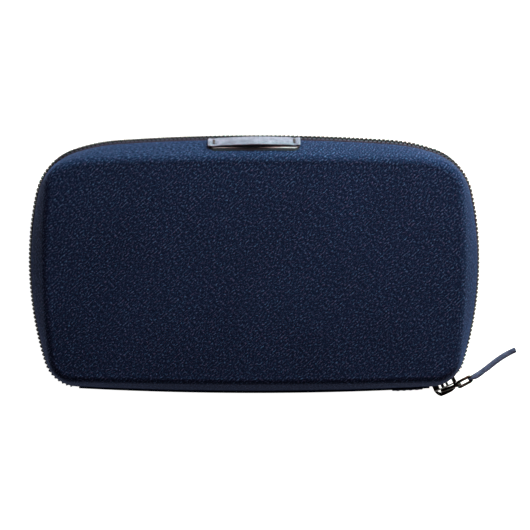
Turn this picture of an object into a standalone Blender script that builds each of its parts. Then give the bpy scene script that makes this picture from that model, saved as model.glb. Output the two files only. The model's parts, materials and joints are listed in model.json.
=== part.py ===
# Zip-round moulded passport wallet: two padded half shells joined by a fabric spine, closed by a coil
# zip whose slider carries a ring-and-leather pull, with a leather grip tag on the front half.
# Metres, +Z up. The wallet lies on its back cover, front cover up, spine towards -Y.
# Origin: centre of the back cover's flat face.

import math

import bmesh
import bpy
from mathutils import Matrix, Vector

# Driving dimensions
DEPTH = 0.040  # outer face to outer face
SHELL_DEPTH = 0.014  # each half shell, face to rim
RIM_ARCS = (  # (radius, turn in degrees) clockwise from the top centre; the bottom arc closes the loop
    (0.877, 4.0),
    (0.075, 15.4),
    (0.0258, 58.1),
    (0.146, 12.5),
    (0.161, 16.5),
    (0.0154, 70.3),
)
RIM_TOP = 0.0578  # Y of the rim's top centre
RIM_BOTTOM_TURN = 3.2
FACE_ARCS = ((2.800, 1.53), (0.041, 16.47), (0.0093, 67.0), (0.420, 5.0), (0.500, 5.1), (0.0105, 83.4))
FACE_TOP = 0.0514
FACE_BOTTOM_TURN = 1.5
HALF_STEPS = (4, 3, 6, 4, 4, 6, 4)  # points along each arc of half an outline
ZIP_STEPS = (10, 4, 9, 5, 5, 13, 2)

COVER = 0.0010  # layer thicknesses, outside to inside
FOAM = 0.0024
LINING = 0.0006
GAP = 0.0003  # between pieces that touch
EDGE_RADIUS = 0.0045  # between the face and the wall
CORNER = 5  # index of the lower corner's arc, which the slider rounds

TAPE_OUT, TAPE_IN = 0.0014, 0.0022  # inset of the zip tape's two faces from the rim
COIL_OUT, COIL_IN = -0.0010, 0.0011
CHAIN_SLOT = 0.0012  # between the two halves of the zip, where the slider's post runs
TAPE_WIDTH = (DEPTH - 2 * SHELL_DEPTH - CHAIN_SLOT) / 2 - GAP
COIL_WIDTH = 0.0026
COIL_END = 173.0  # heading where the back coil ends at the lower right
FRONT_END = 128.0  # the front chain stops short of the parked slider

SPINE_HALF = 0.0765
SPINE_GAP = 0.0008
HINGE_Y = -0.0576

SLIDER_HEADING = 155.0  # where the slider is parked on the corner
SLIDER_LENGTH = 0.011
SLIDER_HALF_WIDTH = 0.00525
CROWN_TOP = 0.0213  # distances from the corner's centre
CROWN_BASE = 0.0182
CROWN_HALF_WIDTH = 0.0015
PLATE_OUT, PLATE_IN = 0.0179, 0.0167

MID = DEPTH / 2

bpy.context.view_layer.update()
for old in list(bpy.data.objects):
    bpy.data.objects.remove(old)

wallet = bpy.data.collections.new("passport_wallet")
cutters = bpy.data.collections.new("cutters")
for group in (wallet, cutters):
    bpy.context.scene.collection.children.link(group)


# Materials

def material(name, colour, roughness, metallic=0.0):
    made = bpy.data.materials.new(name)
    made.use_nodes = True
    shader = made.node_tree.nodes["Principled BSDF"]
    shader.inputs["Base Color"].default_value = (*colour, 1.0)
    shader.inputs["Roughness"].default_value = roughness
    shader.inputs["Metallic"].default_value = metallic
    return made


NAVY = material("navy_fabric", (0.010, 0.017, 0.040), 0.9)
FOAM_GREY = material("moulded_foam", (0.05, 0.05, 0.055), 0.95)
SLATE_LINING = material("slate_lining", (0.10, 0.13, 0.18), 0.85)
ZIP_BLACK = material("zip_black", (0.006, 0.006, 0.009), 0.6)
LEATHER = material("slate_leather", (0.12, 0.14, 0.20), 0.5)
METAL = material("black_nickel", (0.06, 0.055, 0.05), 0.25, 1.0)
MESH = material("mesh_net", (0.02, 0.03, 0.05), 0.8)
THREAD = material("tack_thread", (0.12, 0.07, 0.07), 0.8)
BOARD = material("stiffener_board", (0.25, 0.22, 0.18), 0.9)


# Shapes

def add(name, mesh, look, collection=wallet):
    made = bpy.data.objects.new(name, mesh)
    mesh.materials.append(look)
    collection.objects.link(made)
    return made


def solid(name, bm, look, collection=wallet):
    bmesh.ops.recalc_face_normals(bm, faces=bm.faces)
    mesh = bpy.data.meshes.new(name)
    bm.to_mesh(mesh)
    bm.free()
    mesh.shade_smooth()
    mesh.set_sharp_from_angle(angle=math.radians(35))
    return add(name, mesh, look, collection)


def weave(bm, loops):
    # Joins each loop to the next by triangles whose diagonals all lean the same way.
    for first, second in zip(loops, loops[1:]):
        for i in range(len(first)):
            j = (i + 1) % len(first)
            bm.faces.new((first[i], first[j], second[j]))
            bm.faces.new((first[i], second[j], second[i]))


def loft(name, rings, look, collection=wallet):
    # A closed solid through rings of equally many points, capped at both ends.
    bm = bmesh.new()
    loops = [[bm.verts.new(point) for point in ring] for ring in rings]
    weave(bm, loops)
    bm.faces.new(loops[0])
    bm.faces.new(loops[-1])
    return solid(name, bm, look, collection)


def box(name, low, high, look, bevel=0.0, collection=wallet):
    bm = bmesh.new()
    size = Vector(high) - Vector(low)
    centre = (Vector(high) + Vector(low)) / 2
    bmesh.ops.create_cube(bm, size=1.0, matrix=Matrix.Translation(centre) @ Matrix.Diagonal((*size, 1.0)))
    made = solid(name, bm, look, collection)
    if bevel:
        rounded = made.modifiers.new("edges", "BEVEL")
        rounded.width = bevel
        rounded.segments = 2
        rounded.limit_method = "ANGLE"
    return made


def hide(obj):
    obj.hide_render = True
    obj.display_type = "WIRE"
    return obj


def boolean(obj, other, operation):
    cut = obj.modifiers.new(operation.lower(), "BOOLEAN")
    cut.operation = operation
    cut.object = other
    return obj


def wire_ring(name, points, radius, look):
    # A closed loop of round wire.
    curve = bpy.data.curves.new(name, "CURVE")
    curve.dimensions = "3D"
    curve.bevel_depth = radius
    curve.bevel_resolution = 2
    spline = curve.splines.new("POLY")
    spline.points.add(len(points) - 1)
    for point, place in zip(spline.points, points):
        point.co = (*place, 1.0)
    spline.use_cyclic_u = True
    made = bpy.data.objects.new(name, curve)
    curve.materials.append(look)
    wallet.objects.link(made)
    return made


# Outlines: tangent arcs, each station a point and its outward normal. The heading is 0 at the top
# centre, 90 at the widest point and 180 at the bottom centre.

def half_outline(arcs, bottom_turn, top, steps):
    x, y, heading = 0.0, top, 0.0
    stations = [(Vector((0.0, top)), Vector((0.0, 1.0)), 0.0)]
    for index, count in enumerate(steps):
        if index < len(arcs):
            radius, turn = arcs[index]
        else:
            radius, turn = x / math.sin(math.radians(bottom_turn)), bottom_turn
        for _ in range(count):
            after = heading + math.radians(turn) / count
            x += radius * (math.sin(after) - math.sin(heading))
            y += radius * (math.cos(after) - math.cos(heading))
            heading = after
            normal = Vector((math.sin(heading), math.cos(heading)))
            stations.append((Vector((x, y)), normal, math.degrees(heading)))
    return stations


def mirrored(station):
    point, normal, heading = station
    return Vector((-point.x, point.y)), Vector((-normal.x, normal.y)), heading


def whole(half):
    return half + [mirrored(station) for station in half[-2:0:-1]]


rim = whole(half_outline(RIM_ARCS, RIM_BOTTOM_TURN, RIM_TOP, HALF_STEPS))
face = whole(half_outline(FACE_ARCS, FACE_BOTTOM_TURN, FACE_TOP, HALF_STEPS))
zip_half = half_outline(RIM_ARCS, RIM_BOTTOM_TURN, RIM_TOP, ZIP_STEPS)
corner_start = zip_half[sum(ZIP_STEPS[:CORNER])]
corner = corner_start[0] - RIM_ARCS[CORNER][0] * corner_start[1]


def columns():
    # For each pair of stations: the two points, the way out, the wall's run from face to rim, its lean.
    made = []
    for (face_point, face_normal, _), (rim_point, rim_normal, _) in zip(face, rim):
        out = (face_normal + rim_normal).normalized()
        run = (rim_point - face_point).dot(out)
        made.append((face_point, rim_point, out, run, math.atan2(run, SHELL_DEPTH)))
    return made


def level(z, front):
    # Height of a level measured in from a half's own outer face.
    return DEPTH - z if front else z


def place(column, inset, z, front):
    # A point at height z, inset from the face outline.
    face_point, rim_point, out, run, _ = column
    share = z / SHELL_DEPTH
    point = face_point.lerp(rim_point, share) - (run * share + inset) * out
    return Vector((point.x, point.y, level(z, front)))


def shell_surface(inward, front):
    # Rings of the shell's surface at a depth inward from the outside: face, rounded edge, wall, rim.
    radius = max(EDGE_RADIUS - inward, 0.0008)
    rings = [[] for _ in range(5)]
    for column in columns():
        _, _, _, run, lean = column
        turn = math.pi / 2 - lean
        reach = (inward + radius) * math.tan(turn / 2)
        profile = []
        for k in range(4):
            bend = turn * k / 3
            profile.append((reach - radius * math.sin(bend), inward + radius * (1 - math.cos(bend))))
        profile.append((inward / math.cos(lean) - run, SHELL_DEPTH))
        for ring, (inset, z) in zip(rings, profile):
            ring.append(place(column, inset, z, front))
    return rings


def tray(name, outer, inner, front, look):
    # One layer of a half shell, between two depths inward from the outside.
    bm = bmesh.new()
    skins = []
    for depth in (outer, inner):
        skin = [[bm.verts.new(point) for point in ring] for ring in shell_surface(depth, front)]
        weave(bm, skin)
        bm.faces.new(skin[0])
        skins.append(skin)
    weave(bm, [skins[0][-1], skins[1][-1]])
    return solid(name, bm, look)


def strip(name, stations, section, look):
    # A section of (inset, z) corners swept along an outline.
    rings = [
        [Vector((*(point - inset * normal), z)) for inset, z in section] for point, normal, _ in stations
    ]
    return loft(name, rings, look)


def up_to(half, last):
    return [station for station in half if station[2] <= last + 0.01]


def chain_stations(last_right):
    # Round the zip from the lower left end, over the top, to a heading at the lower right.
    left = [mirrored(station) for station in up_to(zip_half, COIL_END)[:0:-1]]
    return left + up_to(zip_half, last_right)


# Half shells: cover fabric, moulded foam, lining and the binding over the seam

foam_at = COVER + GAP
lining_at = foam_at + FOAM + GAP
inside = lining_at + LINING
BINDING_LOW, BINDING_HIGH = 0.0114, 0.0138

for side, front in (("back", False), ("front", True)):
    tray(f"{side}_cover_fabric", 0.0, COVER, front, NAVY)
    tray(f"{side}_foam_shell", foam_at, foam_at + FOAM, front, FOAM_GREY)
    tray(f"{side}_lining", lining_at, inside, front, SLATE_LINING)
    loops = []
    for inset, z in ((0, BINDING_LOW), (0, BINDING_HIGH), (0.0008, BINDING_HIGH), (0.0008, BINDING_LOW)):
        ring = []
        for column in columns():
            _, _, _, run, lean = column
            wall = inside / math.cos(lean) - run * z / SHELL_DEPTH
            ring.append(place(column, wall + GAP + inset, z, front))
        loops.append(ring)
    bm = bmesh.new()
    rows = [[bm.verts.new(point) for point in ring] for ring in loops]
    weave(bm, rows + rows[:1])
    solid(f"{side}_seam_binding", bm, LEATHER)


# Zip: two tapes, each with its coil

coil_low = MID - CHAIN_SLOT / 2 - COIL_WIDTH
tape_low = SHELL_DEPTH + GAP
for side, front, last in (("back", False, 176.8), ("front", True, FRONT_END)):
    ends = [(TAPE_OUT, tape_low), (TAPE_OUT, tape_low + TAPE_WIDTH)]
    ends += [(TAPE_IN, tape_low + TAPE_WIDTH), (TAPE_IN, tape_low)]
    tape = [(inset, level(z, front)) for inset, z in ends]
    strip(f"{side}_zip_tape", chain_stations(last), tape, ZIP_BLACK)
    middle = coil_low + COIL_WIDTH / 2
    bulge = (COIL_OUT + COIL_IN) / 2
    rounds = [
        (COIL_IN, coil_low + 0.0003),
        (bulge, coil_low),
        (COIL_OUT, middle - 0.0006),
        (COIL_OUT, middle + 0.0006),
        (bulge, coil_low + COIL_WIDTH),
        (COIL_IN, coil_low + COIL_WIDTH - 0.0003),
    ]
    coil = [(inset, level(z, front)) for inset, z in rounds]
    strip(f"{side}_zip_coil", chain_stations(min(last, COIL_END)), coil, ZIP_BLACK)


# Spine: outer fabric, stiffener and lining, with the leather tab over the zip's end

corner_end = zip_half[-1 - ZIP_STEPS[-1]]
bottom_radius = corner_end[0].x / math.sin(math.radians(RIM_BOTTOM_TURN))
bottom_centre = Vector((0.0, zip_half[-1][0].y + bottom_radius))


def bottom_stations(x_from, x_to, count):
    stations = []
    for i in range(count + 1):
        lean = math.asin((x_from + (x_to - x_from) * i / count) / bottom_radius)
        normal = Vector((math.sin(lean), -math.cos(lean)))
        stations.append((bottom_centre + bottom_radius * normal, normal, 180.0))
    return stations


def spine_layer(name, x_from, x_to, count, outer, inner, margin, look):
    low, high = SHELL_DEPTH + margin, DEPTH - SHELL_DEPTH - margin
    section = [(outer, low), (outer, high), (inner, high), (inner, low)]
    return strip(name, bottom_stations(x_from, x_to, count), section, look)


spine_layer("spine_fabric", -SPINE_HALF, SPINE_HALF, 12, 0.0, 0.0011, SPINE_GAP, NAVY)
spine_layer("spine_board", -SPINE_HALF + 0.003, SPINE_HALF - 0.003, 10, 0.0014, 0.0024, 0.0020, BOARD)
spine_layer("spine_lining", -SPINE_HALF, SPINE_HALF, 12, 0.0027, 0.0033, 0.0010, SLATE_LINING)
spine_layer("zip_end_tab", 0.0626, SPINE_HALF, 3, -0.0015, -GAP, 0.0014, LEATHER)


# Document pocket on the back half, with card slots and a slip pocket on its face

POCKET_LOW = Vector((-0.084, -0.045, inside + GAP))
POCKET_HIGH = Vector((0.084, 0.030, 0.0106))
POCKET_WALL = 0.0012

pocket = box("document_pocket", POCKET_LOW, POCKET_HIGH, SLATE_LINING)
room_low = POCKET_LOW + Vector((POCKET_WALL, POCKET_WALL, -0.002))
room_high = Vector((POCKET_HIGH.x - POCKET_WALL, POCKET_HIGH.y + 0.002, POCKET_HIGH.z - POCKET_WALL))
boolean(pocket, hide(box("document_pocket_room", room_low, room_high, NAVY, 0.0, cutters)), "DIFFERENCE")
box(
    "document_pocket_binding",
    (POCKET_LOW.x, POCKET_HIGH.y + GAP, POCKET_HIGH.z - POCKET_WALL),
    (POCKET_HIGH.x, POCKET_HIGH.y + 0.0023, POCKET_HIGH.z + 0.0004),
    LEATHER,
    0.0005,
)

SLOT_LEFT, SLOT_RIGHT, SLOT_BOTTOM, SLOT_THICK = -0.080, 0.012, -0.042, 0.0008
for order, (word, top) in enumerate((("upper", 0.024), ("middle", 0.012), ("lower", 0.0))):
    z = POCKET_HIGH.z + GAP + order * (SLOT_THICK + GAP)
    box(f"card_slot_{word}", (SLOT_LEFT, SLOT_BOTTOM, z), (SLOT_RIGHT, top, z + SLOT_THICK), LEATHER, 0.0002)
slip_z = POCKET_HIGH.z + GAP
box("slip_pocket", (0.018, SLOT_BOTTOM, slip_z), (0.080, 0.018, slip_z + 0.0012), LEATHER, 0.0003)


# Mesh pocket and pen loop on the front half

NET_LOW = Vector((-0.084, -0.045, DEPTH - 0.0098))
NET_HIGH = Vector((0.084, 0.010, DEPTH - inside - GAP))
NET_THICK = 0.0008

net = box("mesh_pocket", NET_LOW, NET_HIGH, MESH)
net_room_low = NET_LOW + Vector((NET_THICK, NET_THICK, NET_THICK))
net_room_high = Vector((NET_HIGH.x - NET_THICK, NET_HIGH.y + 0.002, NET_HIGH.z + 0.002))
boolean(net, hide(box("mesh_pocket_room", net_room_low, net_room_high, NAVY, 0.0, cutters)), "DIFFERENCE")
box(
    "mesh_pocket_binding",
    (NET_LOW.x, NET_HIGH.y + GAP, NET_LOW.z - 0.0006),
    (NET_HIGH.x, NET_HIGH.y + 0.0060, NET_LOW.z + NET_THICK),
    ZIP_BLACK,
    0.0005,
)

LOOP_OUT, LOOP_IN, LOOP_LENGTH, LOOP_Y, LOOP_X = 0.0064, 0.0056, 0.024, 0.031, -0.030
LOOP_SIDES = 24
loop_z = DEPTH - inside - GAP - LOOP_OUT


def loop_ring(radius, x):
    ring = []
    for i in range(LOOP_SIDES):
        turn = 2 * math.pi * i / LOOP_SIDES
        ring.append(Vector((x, LOOP_Y + radius * math.cos(turn), loop_z + radius * math.sin(turn))))
    return ring


loop_ends = (LOOP_X - LOOP_LENGTH / 2, LOOP_X + LOOP_LENGTH / 2)
pen_loop = loft("pen_loop", [loop_ring(LOOP_OUT, x) for x in loop_ends], ZIP_BLACK)
pen_room = loft("pen_room", [loop_ring(LOOP_IN, 1.2 * x - 0.2 * LOOP_X) for x in loop_ends], NAVY, cutters)
boolean(pen_loop, hide(pen_room), "DIFFERENCE")


# Grip tag on the front half's top wall: a backing strip and a strap that bows away from it,
# bar-tacked at both ends. Places are (x, down the wall from the rim, out from the wall).

wall_top = Vector((0.0, RIM_TOP, DEPTH - SHELL_DEPTH))
down_wall = Vector((0.0, FACE_TOP - RIM_TOP, SHELL_DEPTH)).normalized()
out_wall = Vector((0.0, -down_wall.z, down_wall.y)) * -1
TAG_HALF = 0.0207


def on_wall(x, down, out):
    sag = x * x / (2 * RIM_ARCS[0][0])
    return wall_top + Vector((x, -sag, 0.0)) + down * down_wall + out * out_wall


def bow(x):
    # How far the strap stands off its backing: flat under the tacks, fullest in the middle.
    share = max(0.0, 1.0 - abs(x) / (TAG_HALF - 0.005))
    return 0.0008 * math.sin(share * math.pi / 2) ** 2


def tag_section(x, down_from, down_to, out_from, out_to):
    return [
        on_wall(x, down_from, out_from),
        on_wall(x, down_to, out_from),
        on_wall(x, down_to, out_to),
        on_wall(x, down_from, out_to),
    ]


backing = [(-0.0203, 0.0074), (-0.0182, 0.0090), (0.0182, 0.0090), (0.0203, 0.0074)]
loft("tag_backing", [tag_section(x, 0.0022, down, GAP, 0.0010) for x, down in backing], LEATHER)
strap_z = 0.0010 + GAP
TAG_STEPS = 16
strap_rings = []
for i in range(TAG_STEPS + 1):
    x = TAG_HALF * (2 * i / TAG_STEPS - 1)
    strap_rings.append(tag_section(x, 0.0020, 0.0084, strap_z + bow(x), strap_z + bow(x) + 0.0011))
loft("tag_strap", strap_rings, LEATHER)
tack_z = strap_z + 0.0011 + GAP
for word, x in (("left", -0.0180), ("right", 0.0180)):
    sections = [tag_section(x + dx, 0.0036, 0.0068, tack_z, tack_z + 0.0005) for dx in (-0.0007, 0.0007)]
    loft(f"tag_tack_{word}", sections, THREAD)


# Slider on the lower right corner. Local places are (along the chain, out from the corner, z).

facing = math.radians(90 - SLIDER_HEADING)
radial = Vector((math.cos(facing), math.sin(facing), 0.0))
along = Vector((-radial.y, radial.x, 0.0))
corner_3d = Vector((corner.x, corner.y, 0.0))


def at_slider(t, r, z):
    return corner_3d + t * along + r * radial + Vector((0.0, 0.0, MID + z))


def channel_section(t, half):
    # The outer plate with its two side flanges, open towards the tape.
    lip = half - 0.0010
    return [
        at_slider(t, PLATE_OUT - 0.0003, -half),
        at_slider(t, PLATE_OUT, -half + 0.0004),
        at_slider(t, PLATE_OUT, half - 0.0004),
        at_slider(t, PLATE_OUT - 0.0003, half),
        at_slider(t, 0.0146, half),
        at_slider(t, 0.0146, lip),
        at_slider(t, PLATE_IN, lip),
        at_slider(t, PLATE_IN, -lip),
        at_slider(t, 0.0146, -lip),
        at_slider(t, 0.0146, -half),
    ]


half_length = SLIDER_LENGTH / 2
plan = (  # (along the chain, half width): the mouth is wide and the tail narrow
    (-half_length, SLIDER_HALF_WIDTH - 0.0008),
    (-half_length + 0.001, SLIDER_HALF_WIDTH),
    (0.0, SLIDER_HALF_WIDTH - 0.0002),
    (half_length - 0.001, SLIDER_HALF_WIDTH - 0.0006),
    (half_length, SLIDER_HALF_WIDTH - 0.0010),
)
body = loft("slider_body", [channel_section(t, half) for t, half in plan], METAL)


def plate_section(t, half, low, high):
    return [at_slider(t, low, -half), at_slider(t, high, -half), at_slider(t, high, half), at_slider(t, low, half)]


inner_plate = loft("inner_plate", [plate_section(t, half, 0.0107, 0.0117) for t, half in plan], METAL, cutters)
post = loft("slider_post", [plate_section(t, 0.0003, 0.0110, 0.0172) for t in (-0.0053, -0.0033)], METAL, cutters)
boolean(body, hide(inner_plate), "UNION")
boolean(body, hide(post), "UNION")

arch = [
    (-0.0041, CROWN_BASE),
    (-0.0041, CROWN_TOP - 0.0012),
    (-0.0032, CROWN_TOP),
    (0.0032, CROWN_TOP),
    (0.0041, CROWN_TOP - 0.0012),
    (0.0041, CROWN_BASE),
    (0.0030, CROWN_BASE),
    (0.0030, CROWN_TOP - 0.0015),
    (0.0026, CROWN_TOP - 0.0011),
    (-0.0026, CROWN_TOP - 0.0011),
    (-0.0030, CROWN_TOP - 0.0015),
    (-0.0030, CROWN_BASE),
]
crown_rings = [[at_slider(t, r, z) for t, r in arch] for z in (-CROWN_HALF_WIDTH, CROWN_HALF_WIDTH)]
loft("slider_crown", crown_rings, METAL)


# Pull: a link under the crown, a ring on the link, and a leather strap folded round the ring's far end

LINK_WIRE, RING_WIRE = 0.0005, 0.0005
LINK_DIRECTION, RING_DIRECTION, RING_DROOP = math.radians(20), math.radians(26), math.radians(12)
link_pivot = at_slider(-0.0022, 0.0191, 0.0)
link_way = Vector((math.cos(LINK_DIRECTION), math.sin(LINK_DIRECTION), 0.0))
LINK_REACH, LINK_HALF = 0.0086, 0.0026
ring_pivot = link_pivot + LINK_REACH * link_way


def racetrack(centre, way, across, half_long, half_wide, corner_radius, steps=4):
    # A rounded rectangle in the plane of two directions.
    points = []
    for quarter, (sx, sy) in enumerate(((1, 1), (-1, 1), (-1, -1), (1, -1))):
        for i in range(steps + 1):
            turn = math.pi / 2 * (quarter + i / steps)
            long = sx * (half_long - corner_radius) + corner_radius * math.cos(turn)
            wide = sy * (half_wide - corner_radius) + corner_radius * math.sin(turn)
            points.append(centre + long * way + wide * across)
    return points


link_centre = (link_pivot + ring_pivot) / 2
up = Vector((0.0, 0.0, 1.0))
wire_ring("pull_link", racetrack(link_centre, link_way, up, LINK_REACH / 2, LINK_HALF, 0.0011), LINK_WIRE, METAL)

RING_LONG, RING_WIDE = 0.0036, 0.0015  # half sizes of the ring's centre line
flat_way = Vector((math.cos(RING_DIRECTION), math.sin(RING_DIRECTION), 0.0))
ring_way = math.cos(RING_DROOP) * flat_way - math.sin(RING_DROOP) * up
ring_across = up.cross(flat_way)
ring_centre = ring_pivot + (RING_LONG - LINK_WIRE - RING_WIRE - 0.0002) * ring_way
ring_points = racetrack(ring_centre, ring_way, ring_across, RING_LONG, RING_WIDE, 0.0012)
wire_ring("pull_ring", ring_points, RING_WIRE, METAL)
strap_pivot = ring_centre + RING_LONG * ring_way

# The strap's line from the ring's far wire: it droops until its tip rests on the table, and curves a
# little towards the wallet's top. Each station is (reach, drop, side step, half height).
STRAP_LINE = (
    (-0.0016, 0.0, 0.0, 0.0007),
    (-0.0012, 0.0, 0.0, 0.00135),
    (-0.0006, 0.0, 0.0, 0.0017),
    (0.0004, -0.0002, -0.0002, 0.00175),
    (0.0022, -0.0013, -0.0005, 0.00140),
    (0.0044, -0.0028, -0.0004, 0.00115),
    (0.0085, -0.0061, -0.0001, 0.0011),
    (0.0124, -0.0095, 0.0002, 0.0011),
    (0.0163, -0.0125, 0.0003, 0.0011),
    (0.0200, -0.0147, 0.0002, 0.0011),
    (0.0234, -0.0160, -0.0001, 0.0011),
)
STRAP_HALF = 0.0012
strap_places = [
    strap_pivot + reach * flat_way + Vector((0.0, 0.0, drop)) + step * ring_across
    for reach, drop, step, _ in STRAP_LINE
]
strap_sections = []
for i, (place, (_, _, _, half_high)) in enumerate(zip(strap_places, STRAP_LINE)):
    before = strap_places[max(i - 1, 0)]
    after = strap_places[min(i + 1, len(strap_places) - 1)]
    forward = (after - before).normalized()
    side = up.cross(forward).normalized()
    above = forward.cross(side)
    half_wide = 0.0008 if i < 4 else STRAP_HALF
    strap_sections.append(
        [place + sx * half_wide * side + sz * half_high * above for sx, sz in ((-1, -1), (1, -1), (1, 1), (-1, 1))]
    )
strap = loft("pull_strap", strap_sections, LEATHER)
eye_sides = 16
eye_rings = []
for across in (-0.004, 0.004):
    eye_rings.append(
        [
            strap_pivot
            + across * ring_across
            + 0.00075 * (math.cos(2 * math.pi * i / eye_sides) * flat_way + math.sin(2 * math.pi * i / eye_sides) * up)
            for i in range(eye_sides)
        ]
    )
boolean(strap, hide(loft("strap_eye", eye_rings, NAVY, cutters)), "DIFFERENCE")

# Each moving body hangs on an empty on its joint's axis. The spine folds on the back half's rim and the
# front half on the spine's far edge; the slider rounds the corner; the pull has two swivels.

JOINTS = (  # (name, place, name of the joint that carries it, pieces)
    (
        "spine_fold",
        Vector((0.0, HINGE_Y, SHELL_DEPTH)),
        None,
        ("spine_fabric", "spine_board", "spine_lining", "zip_end_tab"),
    ),
    (
        "lid_fold",
        Vector((0.0, HINGE_Y, DEPTH - SHELL_DEPTH)),
        "spine_fold",
        ("front_", "mesh_", "pen_loop", "tag_"),
    ),
    ("slider_run", Vector((corner.x, corner.y, MID)), None, ("slider_",)),
    ("link_swivel", link_pivot, "slider_run", ("pull_link",)),
    ("tab_swivel", ring_pivot, "link_swivel", ("pull_ring", "pull_strap")),
)


def hang(child, parent):
    child.parent = parent
    child.matrix_parent_inverse = parent.matrix_world.inverted()


for name, spot, carrier, pieces in JOINTS:
    pivot = bpy.data.objects.new(name, None)
    pivot.empty_display_size = 0.01
    pivot.location = spot
    wallet.objects.link(pivot)
    bpy.context.view_layer.update()
    if carrier:
        hang(pivot, bpy.data.objects[carrier])
    for piece in wallet.objects:
        if piece.type != "EMPTY" and piece.name.startswith(pieces):
            hang(piece, pivot)
    print(name, [round(value, 5) for value in spot])
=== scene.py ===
# Passport wallet: two moulded half shells in navy melange twill, zipped round three sides, hinged on a
# fabric spine, with a leather grip tag and a leather pull. Everything is in metres, in the frame's own place.

import json
import math

import bmesh
import bpy
from mathutils import Matrix, Vector, noise

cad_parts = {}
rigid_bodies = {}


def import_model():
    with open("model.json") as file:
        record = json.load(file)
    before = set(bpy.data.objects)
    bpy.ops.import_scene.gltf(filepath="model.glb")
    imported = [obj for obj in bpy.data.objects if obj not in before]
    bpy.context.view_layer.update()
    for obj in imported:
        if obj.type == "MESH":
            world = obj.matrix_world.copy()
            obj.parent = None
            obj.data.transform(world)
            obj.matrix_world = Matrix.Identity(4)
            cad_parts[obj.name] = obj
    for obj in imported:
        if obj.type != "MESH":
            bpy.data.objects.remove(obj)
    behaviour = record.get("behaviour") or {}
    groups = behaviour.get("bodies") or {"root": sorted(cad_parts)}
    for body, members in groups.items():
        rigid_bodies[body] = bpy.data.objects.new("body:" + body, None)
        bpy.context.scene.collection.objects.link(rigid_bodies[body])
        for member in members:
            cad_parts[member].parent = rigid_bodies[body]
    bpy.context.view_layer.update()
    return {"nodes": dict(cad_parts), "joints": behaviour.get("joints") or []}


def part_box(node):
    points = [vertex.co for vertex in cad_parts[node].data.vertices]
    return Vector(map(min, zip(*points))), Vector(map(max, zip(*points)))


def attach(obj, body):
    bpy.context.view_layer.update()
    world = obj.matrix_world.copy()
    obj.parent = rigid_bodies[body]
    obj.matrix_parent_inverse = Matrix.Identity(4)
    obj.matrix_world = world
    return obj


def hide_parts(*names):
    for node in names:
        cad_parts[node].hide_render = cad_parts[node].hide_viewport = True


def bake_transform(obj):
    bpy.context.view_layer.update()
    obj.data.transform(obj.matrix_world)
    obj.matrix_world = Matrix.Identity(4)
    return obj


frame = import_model()
mm = 0.001
up = Vector((0, 0, 1))
scene = bpy.context.scene
for spare in [o for o in scene.objects if o.name in ("Cube", "Light", "Camera")]:
    bpy.data.objects.remove(spare)
print("frame loaded:", len(frame["nodes"]), "nodes")


# Colours and nodes

def linear(hexColour):
    # sRGB hex, such as "1b2840", to the linear values that shaders take
    made = []
    for i in (0, 2, 4):
        c = int(hexColour[i:i + 2], 16) / 255
        made.append(c / 12.92 if c <= 0.04045 else ((c + 0.055) / 1.055) ** 2.4)
    return (*made, 1.0)


def plug(tree, node, inputs):
    # sets each input, by its name or its order, to a value, a hex colour or another node's output
    for key, value in inputs.items() if isinstance(inputs, dict) else enumerate(inputs):
        if isinstance(value, bpy.types.NodeSocket):
            tree.links.new(value, node.inputs[key])
        else:
            node.inputs[key].default_value = linear(value) if isinstance(value, str) else value


def addNode(tree, kind, inputs=(), out=0, **settings):
    # adds a node and returns the output that is wanted
    node = tree.nodes.new("ShaderNode" + kind)
    for key, value in settings.items():
        setattr(node, key, value)
    plug(tree, node, inputs)
    return node.outputs[out]


def newMaterial(name, values):
    made = bpy.data.materials.new(name)
    made.use_nodes = True
    shader = made.node_tree.nodes["Principled BSDF"]
    plug(made.node_tree, shader, values)
    return made, made.node_tree, shader


def inMillimetres(tree, uvName=None, turn=0.0, stretch=(1.0, 1.0, 1.0)):
    # the piece's own unrolled coordinates, or its place in space, scaled from metres to millimetres
    source = addNode(tree, "UVMap", uv_map=uvName) if uvName else addNode(tree, "TexCoord", out="Object")
    return addNode(tree, "Mapping", {"Vector": source, "Scale": tuple(1000 * s for s in stretch),
                                     "Rotation": (0, 0, math.radians(turn))})


# Materials

bandCount = 3.2  # bands in one unit of a wave texture at scale 1
twill = {
    "strokeMm": 1.25,  # across one diagonal rib; real ribs are half this, drawn double so that they show
    "floatMm": 1.8,  # along one yarn's float
    "threadMm": 0.42,
    "ribTurn": -42,
    "dark": "030c20",
    "middle": "091530",
    "light": "3a5177",
    "rose": "454669",
    "sheen": 0.10,
    "sheenTint": "3676da",
}


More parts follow.
